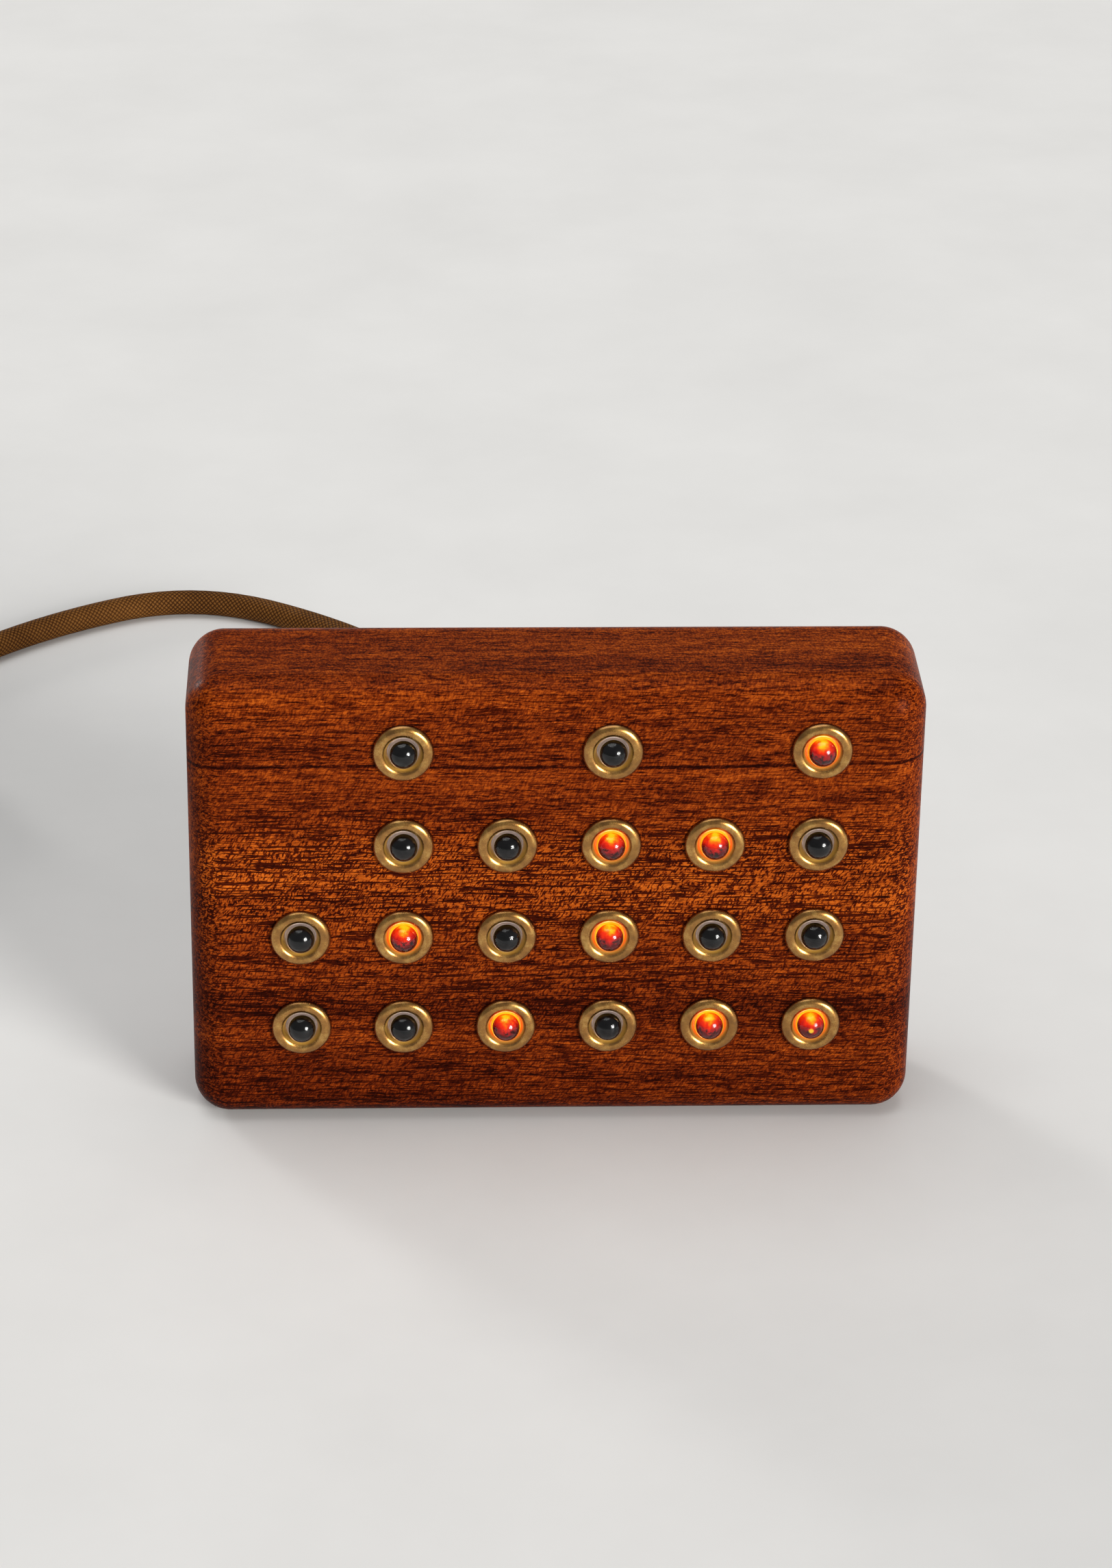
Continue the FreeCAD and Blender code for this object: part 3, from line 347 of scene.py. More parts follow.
def wood_finish(name, figure_by_height, tone_by_height, dark_line, start):
    """Oiled ribbon-striped wood with its grain along X and a dark growth line at one height.

    The tables give its cross figure and its tone up the block. start moves the whole pattern, so that two
    pieces don't show the same one.
    """
    wood = Finish(name)
    along_normal = wood.split(wood.node("TexCoord").outputs["Normal"])[0]
    end_grain = wood.span(wood.math("ABSOLUTE", along_normal), END_GRAIN_EDGES)
    place = wood.vector("ADD", wood.position(), start)
    drift = wood.warped(place, DRIFT, DRIFT_REACH)
    grain = wood.warped(drift, WANDER, WANDER_REACH)
    _, inward, height = wood.split(wood.vector("SUBTRACT", drift, start))
    up = wood.math("DIVIDE", height, BLOCK_HEIGHT)
    plain = wood.math("MAXIMUM", end_grain, wood.math("MULTIPLY", wood.span(inward, FADE_EDGES), FADE))
    figure = wood.math("MULTIPLY", wood.ramp(up, figure_by_height), wood.math("SUBTRACT", 1.0, plain))

    streaks = wood.noise(grain, STREAKS, detail=4.0, roughness=0.65)
    threads = wood.noise(grain, THREADS, roughness=0.65)
    shade = wood.ramp(up, tone_by_height)
    for noise, reach in (
        (wood.noise(drift, BROAD, detail=3.0), BROAD_REACH),
        (streaks, STREAKS_REACH),
        (threads, THREADS_REACH),
    ):
        shade = wood.math("ADD", shade, wood.around(noise, reach))

    turned_grain = wood.node("VectorRotate", rotation_type="Y_AXIS")
    wood.feed(grain, turned_grain.inputs["Vector"])
    turned_grain.inputs["Angle"].default_value = math.radians(FIGURE_LEAN)
    leaning = turned_grain.outputs[0]
    uncut = wood.span(wood.noise(grain, CUTS), CUT_EDGES)
    dashes = wood.math("MULTIPLY", wood.span(wood.noise(leaning, BLOTCHES), BLOTCH_EDGES), uncut)
    dashes = wood.math("SUBTRACT", dashes, FIGURE_MIDDLE)
    cross = wood.math("MULTIPLY", dashes, wood.math("MULTIPLY", figure, FIGURE_REACH))
    shade = wood.math("ADD", shade, cross)
    flecks = wood.span(wood.noise(leaning, FLECKS), FLECK_EDGES)
    fine = wood.math("ADD", wood.around(flecks, FLECKS_REACH), wood.around(uncut, CUTS_REACH))
    shade = wood.math("ADD", shade, wood.math("MULTIPLY", fine, wood.math("SUBTRACT", FINE_STRENGTH, figure)))

    away = wood.math("ABSOLUTE", wood.math("SUBTRACT", height, dark_line))
    line = wood.span(away, LINE_EDGES, to_low=LINE_REACH, to_high=0.0)
    pore = wood.span(wood.noise(grain, PORES, detail=0.0), PORE_EDGES)
    shade = wood.math("MULTIPLY_ADD", pore, PORES_REACH, wood.math("SUBTRACT", shade, line), clamp=True)

    wood.set(Base_Color=wood.ramp(shade, WOOD_SHADES), Specular_IOR_Level=0.02)
    wood.set(Roughness=wood.run(streaks, 0.26, 0.42))
    relief = wood.math("MULTIPLY_ADD", pore, PORE_RELIEF, wood.math("MULTIPLY", threads, THREAD_RELIEF))
    return wood.bump(relief, WOOD_RELIEF).material


# Brass: the shares of mottle and grit in its shade, and of scratches beside grit in its relief
BRASS_SHADES = [(0.34, (0.21, 0.088, 0.014)), (0.58, (0.40, 0.185, 0.032)), (0.84, (0.72, 0.44, 0.12))]
MOTTLE_SHARE, GRIT_SHARE, SCRATCH_SHARE = 0.8, 0.35, 0.5
BRASS_RELIEF = 0.005
# The rim's colour and share: tarnish, and painted shade where the flange meets the wood
TARNISH_AND_SHADE, TARNISH_AND_SHADE_SHARE = (0.085, 0.046, 0.016), 0.85
# The throat of an eyelet, beside an unlit LED and beside a lit one: its colour and its glow, both painted
# light, warm for light reflected into it and red for the lit LED's light on the brass
THROAT_PAINTED_COLOURS = ((0.66, 0.34, 0.055), (0.30, 0.07, 0.01))
THROAT_PAINTED_LIGHTS = ((0.62, 0.32, 0.05), (1.0, 0.13, 0.004))
# Strengths of the throat's painted glow, and of what a lit LED's painted glow adds to it
THROAT_DIM, THROAT_GLOW = 0.10, 0.75
THROAT_METALLIC, THROAT_ROUGHER = 0.25, 0.25


def brass_finish(name, with_throat):
    """Satin brass under a thin lacquer, mottled and finely scratched.

    An eyelet's also has a rim darkened by tarnish and painted shade, and a throat with painted light: a warm
    colour and faint glow beside a dark LED, and a red colour and glow beside a lit one.
    """
    brass = Finish(name)
    place = brass.position()
    mottle = brass.noise(place, 0.55, detail=4.0, roughness=0.6)
    grit = brass.noise(place, 9.0)
    scratches = brass.noise(place, (0.8, 14.0, 14.0))
    tone = brass.math("MULTIPLY_ADD", grit, GRIT_SHARE, brass.math("MULTIPLY", mottle, MOTTLE_SHARE))
    colour = brass.ramp(tone, BRASS_SHADES)
    rough = brass.run(mottle, 0.20, 0.34)
    metallic = 1.0
    if with_throat:
        # The throat's painted light: a warm colour and faint glow for light reflected in, red for a lit LED's
        # light
        throat, glow = brass.attribute("throat"), brass.attribute("glow")
        # The rim darkened by tarnish and painted shade
        rim_tarnish_and_shade = brass.math("MULTIPLY", brass.attribute("rim_tarnish_and_shade"), TARNISH_AND_SHADE_SHARE)
        colour = brass.mix(rim_tarnish_and_shade, colour, TARNISH_AND_SHADE)
        colour = brass.mix(throat, colour, brass.mix(glow, *THROAT_PAINTED_COLOURS))
        rough = brass.math("MULTIPLY_ADD", throat, THROAT_ROUGHER, rough)
        metallic = brass.run(throat, 1.0, THROAT_METALLIC)
        strength = brass.math("MULTIPLY_ADD", glow, THROAT_GLOW, brass.math("MULTIPLY", throat, THROAT_DIM))
        brass.set(Emission_Color=brass.mix(glow, *THROAT_PAINTED_LIGHTS), Emission_Strength=strength)
    brass.set(Base_Color=colour, Metallic=metallic, Roughness=rough)
    brass.set(Coat_Weight=0.6, Coat_Roughness=0.22, Coat_IOR=1.6)
    return brass.bump(brass.math("MULTIPLY_ADD", scratches, SCRATCH_SHARE, grit), BRASS_RELIEF).material


def clear_finish():
    """Clear epoxy with faint flow marks. Its coat carries the lamps' glints, and the glass mirrors little."""
    clear = Finish("clear_epoxy")
    marks = clear.noise(clear.position(), 0.5, detail=1.0)
    clear.set(Base_Color=(1.0, 1.0, 1.0, 1.0), Transmission_Weight=1.0, IOR=1.5)
    clear.set(Roughness=clear.run(marks, 0.01, 0.05), Specular_Tint=(0.10, 0.10, 0.10, 1.0))
    return clear.set(Coat_Weight=0.80, Coat_Roughness=0.15, Coat_IOR=1.5).material


# LED core: its shades, near black as painted shade, and its light from the faintest to the brightest
CORE_PAINTED_DARK_SHADES = [(0.3, (0.0005, 0.0005, 0.0007)), (0.7, (0.0025, 0.0022, 0.003))]
CORE_LIGHTS = [
    (0.10, (0.10, 0.0, 0.0)),
    (0.34, (0.55, 0.002, 0.0)),
    (0.52, (1.0, 0.03, 0.0)),
    (0.62, (1.0, 0.20, 0.0)),
    (0.72, (1.0, 0.60, 0.005)),
    (0.95, (1.0, 0.66, 0.02)),
]
# Where its light is on that scale: at its middle and an LED's radius above it, how much less that far to its
# sides, and how uneven
CORE_LEVELS, CORE_ASIDE, CORE_UNEVEN = (0.40, 1.10), -0.35, 0.50
# Its dark specks: the noise's edges, the light left in them, and the heights in LED radii between which they
# end
SPECK_EDGES, SPECK_LIGHT, SPECKS_END = (0.42, 0.50), 0.12, (-0.1, 0.15)
# The bright spark in one LED: its light, and in LED radii the squared radii of its inside and its edge, and
# how far below the middle it lies
SPARK_LIGHT, SPARK_EDGES, SPARK_DROP = (1.0, 0.55, 0.02), (0.008, 0.03), 0.12


def core_finish():
    """An LED's inside, painted near black as shade, or where it glows, red with dark specks below and yellow
    above.
    """
    core = Finish("led_core")
    across, up = core.attribute("across"), core.attribute("up")
    patches = core.noise(core.position(), 1.1, detail=3.0, roughness=0.6)
    aside = core.math("MULTIPLY", core.math("ABSOLUTE", across), CORE_ASIDE)
    uneven = core.math("ADD", aside, core.around(patches, CORE_UNEVEN))
    level = core.math("ADD", core.run(up, *CORE_LEVELS), uneven)
    specks = core.span(core.noise(core.position(), 1.9), SPECK_EDGES, to_low=SPECK_LIGHT)
    bright = core.math("MAXIMUM", specks, core.span(up, SPECKS_END))
    off_middle = core.math("ADD", up, SPARK_DROP)
    off_middle = core.math("ADD", core.math("POWER", across, 2.0), core.math("POWER", off_middle, 2.0))
    spark = core.span(off_middle, SPARK_EDGES, to_low=1.0, to_high=0.0)
    spark = core.math("MULTIPLY", core.attribute("spark"), spark)
    light = core.mix(spark, core.ramp(level, CORE_LIGHTS), SPARK_LIGHT)
    strength = core.math("MULTIPLY", core.math("MAXIMUM", bright, spark), core.attribute("glow"))
    core.set(Base_Color=core.ramp(patches, CORE_PAINTED_DARK_SHADES))
    core.set(Roughness=core.run(patches, 0.4, 0.6), Specular_IOR_Level=0.0)
    return core.set(Emission_Color=light, Emission_Strength=strength).material


# LED sleeve: its shades, its painted glow when its LED is dark, for light scattered through the epoxy, and
# when lit, for the LED's light on the glue; where that is at its sides and at its top and bottom, how uneven,
# and how strong the painted glow is when dark and when lit
SLEEVE_SHADES = [(0.3, (0.15, 0.12, 0.11)), (0.7, (0.56, 0.47, 0.43))]
SLEEVE_PAINTED_DIM_GLOW = (0.60, 0.49, 0.45)
SLEEVE_LIGHTS = [(0.2, (1.0, 0.12, 0.0)), (0.5, (1.0, 0.24, 0.0)), (0.8, (1.0, 0.66, 0.01))]
SLEEVE_LEVELS, SLEEVE_UNEVEN = (-0.02, 0.73), 0.5
SLEEVE_STRENGTHS = (0.24, 1.0)


def sleeve_finish():
    """Milky glue round an LED, with a painted glow: faint when the LED is dark, orange and yellow when lit.
    """
    sleeve = Finish("led_sleeve")
    up, glow = sleeve.attribute("up"), sleeve.attribute("glow")
    patches = sleeve.noise(sleeve.position(), 1.0)
    level = sleeve.run(sleeve.math("ABSOLUTE", up), *SLEEVE_LEVELS)
    level = sleeve.math("ADD", level, sleeve.around(patches, SLEEVE_UNEVEN))
    # Painted glow: pale when the LED is dark, orange and yellow for a lit LED's light on the glue
    light = sleeve.mix(glow, SLEEVE_PAINTED_DIM_GLOW, sleeve.ramp(level, SLEEVE_LIGHTS))
    sleeve.set(Base_Color=sleeve.ramp(patches, SLEEVE_SHADES), Roughness=0.7)
    strength = sleeve.run(glow, *SLEEVE_STRENGTHS)
    return sleeve.set(Emission_Color=light, Emission_Strength=strength).material


BRAID_SHADES = [(0.05, (0.024, 0.008, 0.002)), (0.45, (0.095, 0.035, 0.007)), (0.95, (0.25, 0.105, 0.024))]
# Strands each way round the cord, millimetres of cord from strand to strand, threads in a strand
BRAID_STRANDS = 16.0
BRAID_PITCH = 1.0
THREADS_PER_STRAND = 5.0
# How high a strand still stands where it dips, the threads' share in the relief, the relief in millimetres
STRAND_DIP, BRAID_THREAD_RELIEF, BRAID_RELIEF = 0.45, 0.22, 0.12
# The shares of wear and of the relief in the braid's tone; the relief's share is painted shade in its dips
WEAR_SHARE, DIP_SHADE_SHARE = 0.6, 0.82


def braid_finish():
    """A braided textile cover: two families of strands that pass over and under each other."""
    braid = Finish("braided_cover")
    u, v, _ = braid.split(braid.node("UVMap", uv_map="braid").outputs[0])
    turn = braid.math("MULTIPLY", u, BRAID_STRANDS)
    along = braid.math("DIVIDE", v, BRAID_PITCH)
    one = braid.math("ADD", turn, along)
    other = braid.math("SUBTRACT", turn, along)
    steps = braid.math("ADD", braid.math("FLOOR", one), braid.math("FLOOR", other))
    on_top = braid.math("FLOORED_MODULO", steps, 2.0)
    one_part, other_part = braid.math("FRACT", one), braid.math("FRACT", other)
    swap = braid.math("SUBTRACT", other_part, one_part)
    across = braid.math("MULTIPLY_ADD", on_top, swap, one_part)
    lengthwise = braid.math("SUBTRACT", braid.math("ADD", one_part, other_part), across)
    crest = braid.run(braid.hump(lengthwise), STRAND_DIP, 1.0)
    height = braid.math("MULTIPLY", braid.hump(across), crest)
    threads = braid.math("PINGPONG", braid.math("MULTIPLY", across, THREADS_PER_STRAND), 0.5)
    relief = braid.math("MULTIPLY_ADD", threads, BRAID_THREAD_RELIEF, height)
    wear = braid.math("SUBTRACT", braid.noise(braid.position(), 0.10, detail=4.0), 0.5)
    # Painted shade: darker where the relief dips between strands and threads
    tone = braid.math("MULTIPLY_ADD", wear, WEAR_SHARE, braid.math("MULTIPLY", relief, DIP_SHADE_SHARE))
    braid.set(Base_Color=braid.ramp(tone, BRAID_SHADES), Roughness=0.62, Specular_IOR_Level=0.05)
    return braid.bump(relief, BRAID_RELIEF).material


GLOSS_VARIES = 0.1


def speckled_finish(name, dark, bright, scale, roughness=0.5, metallic=0.0, depth=0.02, **more):
    """A plain material as it really is: two near shades in fine mottling, uneven gloss and slight relief."""
    finish = Finish(name)
    mottle = finish.noise(finish.position(), scale, detail=4.0, roughness=0.6)
    finish.set(Base_Color=finish.ramp(mottle, [(0.3, dark), (0.7, bright)]), Metallic=metallic)
    finish.set(Roughness=finish.run(mottle, roughness - GLOSS_VARIES, roughness + GLOSS_VARIES), **more)
    return finish.bump(mottle, depth).material


# Plain materials: darker shade, brighter shade, features per millimetre, roughness, metallic, relief in mm
SPECKLED = {
    "tinned_copper": ((0.42, 0.41, 0.40), (0.66, 0.65, 0.62), 2.0, 0.3, 1.0),
    "screw_steel": ((0.34, 0.34, 0.35), (0.55, 0.55, 0.56), 1.5, 0.35, 1.0),
    "chip_moulding": ((0.010, 0.010, 0.011), (0.028, 0.028, 0.030), 4.0, 0.6),
    "can_metal": ((0.50, 0.50, 0.50), (0.72, 0.72, 0.71), 1.0, 0.25, 1.0),
    "switch_plastic": ((0.013, 0.013, 0.014), (0.030, 0.030, 0.031), 3.0, 0.5),
    "button_plastic": ((0.012, 0.011, 0.010), (0.026, 0.024, 0.022), 5.0, 0.42),
    "terminal_plastic": ((0.02, 0.12, 0.05), (0.04, 0.19, 0.08), 2.0, 0.5),
    "wire_insulation": ((0.30, 0.02, 0.015), (0.46, 0.04, 0.03), 2.0, 0.5),
    "grommet_rubber": ((0.016, 0.011, 0.008), (0.036, 0.026, 0.020), 4.0, 0.6),
    "tie_strap": ((0.016, 0.013, 0.011), (0.060, 0.050, 0.043), 3.5, 0.85, 0.0, 0.12),
    "plug_plastic": ((0.018, 0.016, 0.015), (0.034, 0.031, 0.029), 5.0, 0.5),
    "plug_metal": ((0.55, 0.55, 0.54), (0.74, 0.74, 0.72), 0.8, 0.22, 1.0),
    "plug_tongue": ((0.55, 0.55, 0.53), (0.68, 0.68, 0.66), 2.0, 0.45),
    "contact_gold": ((0.70, 0.45, 0.14), (0.88, 0.62, 0.24), 2.0, 0.22, 1.0),
}
finishes = {
    "block_wood": wood_finish("oiled_wood", BLOCK_FIGURE, BLOCK_TONE, BLOCK_LINE, BLOCK_START),
    "panel_wood": wood_finish("oiled_panel_wood", PANEL_FIGURE, PANEL_TONE, PANEL_LINE, PANEL_START),
    "brass": brass_finish("satin_brass", with_throat=True),
    "screw_brass": brass_finish("screw_brass", with_throat=False),
    "led_epoxy": clear_finish(),
    "led_core": core_finish(),
    "led_sleeve": sleeve_finish(),
    "cord_braid": braid_finish(),
    "board": speckled_finish("circuit_board", (0.010, 0.055, 0.020), (0.022, 0.105, 0.040), 0.4, 0.4),
    **{name: speckled_finish(name, *looks) for name, looks in SPECKLED.items()},
}

for node in nodes.values():
    for slot in node.material_slots:
        slot.material = finishes[slot.material.name.split(".")[0]]


# ------------------------------------------------------------------------------------------------ shapes


def arc(centre, radii, start, end, steps):
    """Points of an elliptic arc in a profile's (radius, height) plane, angles in degrees."""
    angles = [math.radians(start + (end - start) * i / steps) for i in range(steps + 1)]
    return [(centre[0] + radii[0] * math.cos(a), centre[1] + radii[1] * math.sin(a)) for a in angles]


def turned(profile, sides):
    """Points and faces of a profile of (radius, height) turned about the Z axis; radius 0 closes an end."""
    points, faces, rings = [], [], []
    for radius, height in profile:
        if radius == 0:
            rings.append([len(points)])
            points.append(Vector((0, 0, height)))
            continue
        rings.append(list(range(len(points), len(points) + sides)))
        for i in range(sides):
            a = 2 * math.pi * i / sides
            points.append(Vector((radius * math.cos(a), radius * math.sin(a), height)))
    for low, high in zip(rings, rings[1:]):
        for i in range(sides):
            j = (i + 1) % sides
            corners = [low[i % len(low)], low[j % len(low)], high[j % len(high)], high[i % len(high)]]
            faces.append(list(dict.fromkeys(corners)))
    return points, [f for f in faces if len(f) > 2]


def joined_rings(rings, sides, closed):
    """The faces between rings of as many points each; closed joins the last ring to the first one too."""
    faces = []
    for near in range(rings if closed else rings - 1):
        far = (near + 1) % rings
        for i in range(sides):
            j = (i + 1) % sides
            faces.append([near * sides + i, near * sides + j, far * sides + j, far * sides + i])
    return faces


def loft(sections):
    """Points and faces through closed sections of as many points each, with both ends closed."""
    sides = len(sections[0])
    last = (len(sections) - 1) * sides
    points = [Vector(p) for section in sections for p in section]
    faces = joined_rings(len(sections), sides, closed=False)
    return points, faces + [list(reversed(range(sides))), list(range(last, last + sides))]


def rounded_outline(half_width, half_height, radius, steps):
    """Points of a rounded rectangle about the origin, in order."""
    points = []
    for side_x, side_y, start in ((1, 1, 0), (-1, 1, 90), (-1, -1, 180), (1, -1, 270)):
        for i in range(steps + 1):
            a = math.radians(start + 90 * i / steps)
            x = side_x * (half_width - radius) + radius * math.cos(a)
            y = side_y * (half_height - radius) + radius * math.sin(a)
            points.append((x, y))
    return points


FACING_FRONT = Matrix.Rotation(math.radians(90), 4, "X")
FACING_BACK = Matrix.Rotation(math.radians(-90), 4, "X")
SHARP_EDGE = math.radians(40)


def at(x, y, z, turn=Matrix.Identity(4)):
    """The matrix that turns a part and moves it to a place."""
    return Matrix.Translation((x, y, z)) @ turn


def box_in_mm(node_name):
    """The lowest and the highest corner of a CAD node."""
    low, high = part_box(node_name)
    return low / MM, high / MM


def in_scene(name, data):
    """A new object, linked to the scene."""
    made = bpy.data.objects.new(name, data)
    bpy.context.scene.collection.objects.link(made)
    return made


def piece(name, parts, slot_name, body="clock", finish=None, replaced=()):
    """One object made of (points, faces, matrix) parts in millimetres, riding on a body."""
    points, faces = [], []
    for part_points, part_faces, matrix in parts:
        first = len(points)
        points += [tuple((matrix @ p) * MM) for p in part_points]
        faces += [[first + i for i in face] for face in part_faces]
    mesh = bpy.data.meshes.new(name)
    mesh.from_pydata(points, [], faces)
    outward = bmesh.new()
    outward.from_mesh(mesh)
    bmesh.ops.recalc_face_normals(outward, faces=outward.faces)
    outward.to_mesh(mesh)
    outward.free()
    mesh.shade_smooth()
    mesh.set_sharp_from_angle(angle=SHARP_EDGE)
    mesh.materials.append(finish or finishes[slot_name])
    made = in_scene(name, mesh)
    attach(made, body)
    if replaced:
        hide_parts(*replaced)
    return made


def paint(made, name, values):
    """Gives every vertex of a piece a number that its material can read."""
    made.data.attributes.new(name, "FLOAT", "POINT").data.foreach_set("value", values)


# ------------------------------------------------------------------------------------------------- cord


def coil_points():
    """The control points of the coil's turns, a little outside the turns, which their spline cuts inside."""
    outside = 1 / math.cos(math.pi / COIL_POINTS)
    points = []
    for step in range(round(COIL_TURNS * COIL_POINTS) + 1):
        turn = step / COIL_POINTS
        angle = math.radians(COIL_START) + 2 * math.pi * turn
        radius = between(COIL_RADII, turn) * outside
        x = COIL_CENTRE[0] + radius * math.cos(angle)
        y = COIL_CENTRE[1] + radius * math.sin(angle)
        points.append((x, y, between(COIL_HEIGHTS, turn)))
    return points


def spline_line(points, resolution):
    """The points along the smooth line that a route's NURBS spline makes, in metres."""
    curve = bpy.data.curves.new("cord_route", "CURVE")
    curve.dimensions = "3D"
    curve.resolution_u = resolution
    spline = curve.splines.new("NURBS")
    spline.points.add(len(points) - 1)
    for spot, place in zip(spline.points, points):
        spot.co = (*(Vector(place) * MM), 1.0)
    spline.order_u = 3
    spline.use_endpoint_u = True
    holder = bpy.data.objects.new("cord_route", curve)
    mesh = bpy.data.meshes.new_from_object(holder)
    line = [v.co.copy() for v in mesh.vertices]
    bpy.data.objects.remove(holder)
    bpy.data.meshes.remove(mesh)
    bpy.data.curves.remove(curve)
    return line


def tube(name, line, radius, sides, finish):
    """A closed tube along a line, its UVs the turn round it (0 to 1) and the distance along it (mm)."""
    ahead = [(b - a).normalized() for a, b in zip(line, line[1:])]
    ahead = [ahead[0]] + [(a + b).normalized() for a, b in zip(ahead, ahead[1:])] + [ahead[-1]]
    side = ahead[0].cross(Vector((0, 0, 1))).normalized()
    sections, distance = [], [0.0]
    for i, (centre, direction) in enumerate(zip(line, ahead)):
        if i:
            side = ahead[i - 1].rotation_difference(direction) @ side
            distance.append(distance[-1] + (centre - line[i - 1]).length / MM)
        side = (side - direction * side.dot(direction)).normalized()
        up = direction.cross(side)
        angles = [2 * math.pi * j / sides for j in range(sides)]
        sections.append([centre + (side * math.cos(a) + up * math.sin(a)) * radius for a in angles])
    points, faces = loft(sections)
    mesh = bpy.data.meshes.new(name)
    mesh.from_pydata([tuple(p) for p in points], [], faces)
    uvs = []
    for here, there in zip(distance, distance[1:]):
        for j in range(sides):
            near, far = j / sides, (j + 1) / sides
            uvs += [(near, here), (far, here), (far, there), (near, there)]
    uvs += [(0.0, 0.0)] * (2 * sides)
    for loop, uv in zip(mesh.uv_layers.new(name="braid").data, uvs):
        loop.uv = uv
    mesh.shade_smooth()
    mesh.materials.append(finish)
    return in_scene(name, mesh)


cord_line = spline_line(CORD_ROUTE + coil_points() + TAIL_ROUTE, POINTS_PER_RUN)
cord = tube("cord", cord_line, CORD_DIAMETER / 2 * MM, CORD_SIDES, finishes["cord_braid"])
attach(cord, "clock")
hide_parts("cord_tube", "cord_coil")


# --------------------------------------------------------------------------------------- LEDs and eyelets


FRONT_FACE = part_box("wood_body")[0].y / MM
LED_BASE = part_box("leds")[1].y / MM


def led_places():
    """(row, column, x, z) of every LED, worked out from the CAD LEDs."""
    low, high = box_in_mm("leds")
    pitch = (high.x - low.x - 2 * LED_RADIUS) / (len(DIGIT_LEDS) - 1)
    places = []
    for column, count in enumerate(DIGIT_LEDS, start=1):
        for row in range(1, count + 1):
            x = low.x + LED_RADIUS + (column - 1) * pitch
            z = low.z + LED_RADIUS + (row - 1) * pitch
            places.append((row, column, x, z))
    return places


def owned_vertices(made, places):
    """For each vertex of a piece with a part for every LED: that LED's (row, column), and x and z from it."""
    vertices = made.data.vertices
    rows = []
    for i, vertex in enumerate(vertices):
        row, column, x, z = places[i * len(places) // len(vertices)]
        rows.append(((row, column), vertex.co.x / MM - x, vertex.co.z / MM - z))
    return rows


def held(share):
    """A share, held between 0 and 1."""
    return max(0.0, min(1.0, share))


def make_eyelets():
    """Brass eyelets: a flange with a rounded crown, its inner side rolling down in a funnel to the LED."""
    profile = arc((CROWN, 0.0), (RIM - CROWN, CROWN_HEIGHT), 0, 90, 10)
    profile += arc((CROWN, LIP_HEIGHT), (CROWN - LIP, CROWN_HEIGHT - LIP_HEIGHT), 90, FUNNEL_START, 8)[1:]
    profile += FUNNEL
    profile += [(THROAT, height) for height in (-1.2, -2.0, -3.0, BARREL_END)]
    profile += [(THROAT + EYELET_WALL, BARREL_END), (THROAT + EYELET_WALL, 0.0), (RIM, 0.0)]
    points, faces = turned(profile, EYELET_SIDES)
    places = led_places()
    parts = [(points, faces, at(x, FRONT_FACE, z, FACING_FRONT)) for _, _, x, z in places]
    eyelets = piece("eyelets", parts, "brass", replaced=["brass_eyelets"])
    rows = [(owner in LIT, math.hypot(x, z)) for owner, x, z in owned_vertices(eyelets, places)]
    # Masks of the throat's painted light and of a lit LED's painted glow on the brass
    paint(eyelets, "throat", [held((LIP + THROAT_START - radius) / THROAT_WIDTH) for _, radius in rows])
    paint(eyelets, "glow", [lit * held((LIP + GLOW_START - radius) / GLOW_WIDTH) for lit, radius in rows])
    # The rim's mask of tarnish and painted shade
    paint(eyelets, "rim_tarnish_and_shade", [held((radius - RIM + TARNISH_AND_SHADE_WIDTH) / TARNISH_AND_SHADE_WIDTH) for _, radius in rows])


def make_leds():
    """Clear LEDs, each with a ball in it, painted dark as shade or glowing, in a cup of milky glue that fills
    its eyelet.
    """
    straight = LED_LENGTH - LED_RADIUS
    dome = arc((0, straight), (LED_RADIUS, LED_RADIUS), 0, 90, 14)[:-1]
    lens = [(0, 0), (LED_RADIUS, 0), *dome, (0, LED_LENGTH)]
    ball = arc((0, straight), (CORE_RADIUS, CORE_RADIUS), -90, 90, 18)[1:-1]
    core = [(0, straight - CORE_RADIUS), *ball, (0, straight + CORE_RADIUS)]
    inner, outer = LED_RADIUS - SLEEVE_GAPS[0], THROAT - SLEEVE_GAPS[1]
    sleeve = [(0, SLEEVE_BOTTOM), (outer, SLEEVE_BOTTOM), (outer, straight - SLEEVE_RIM[0])]
    sleeve += [(inner, straight - SLEEVE_RIM[1]), (inner, SLEEVE_FLOOR), (0, SLEEVE_FLOOR)]
    lenses, cores, sleeves = [], [], []
    places = led_places()
    for _, _, x, z in places:
        spot = at(x, LED_BASE, z, FACING_FRONT)
        lenses.append((*turned(lens, LED_SIDES), spot))
        cores.append((*turned(core, CORE_SIDES), spot @ Matrix.Translation((*CORE_OFFSET, 0))))
        sleeves.append((*turned(sleeve, LED_SIDES), spot))
    piece("led_lenses", lenses, "led_epoxy", replaced=["leds"])
    for name, parts, finish in (("led_cores", cores, "led_core"), ("led_sleeves", sleeves, "led_sleeve")):
        made = piece(name, parts, "led_epoxy", finish=finishes[finish])
        rows = owned_vertices(made, places)
        paint(made, "glow", [float(owner in LIT) for owner, _, _ in rows])
        paint(made, "spark", [float(owner == SPARKLING) for owner, _, _ in rows])
        paint(made, "across", [x / LED_RADIUS for _, x, _ in rows])
        paint(made, "up", [z / LED_RADIUS for _, _, z in rows])


make_eyelets()
make_leds()


# -------------------------------------------------------------------------------------- back of the clock


PANEL_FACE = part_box("back_panel")[1].y / MM


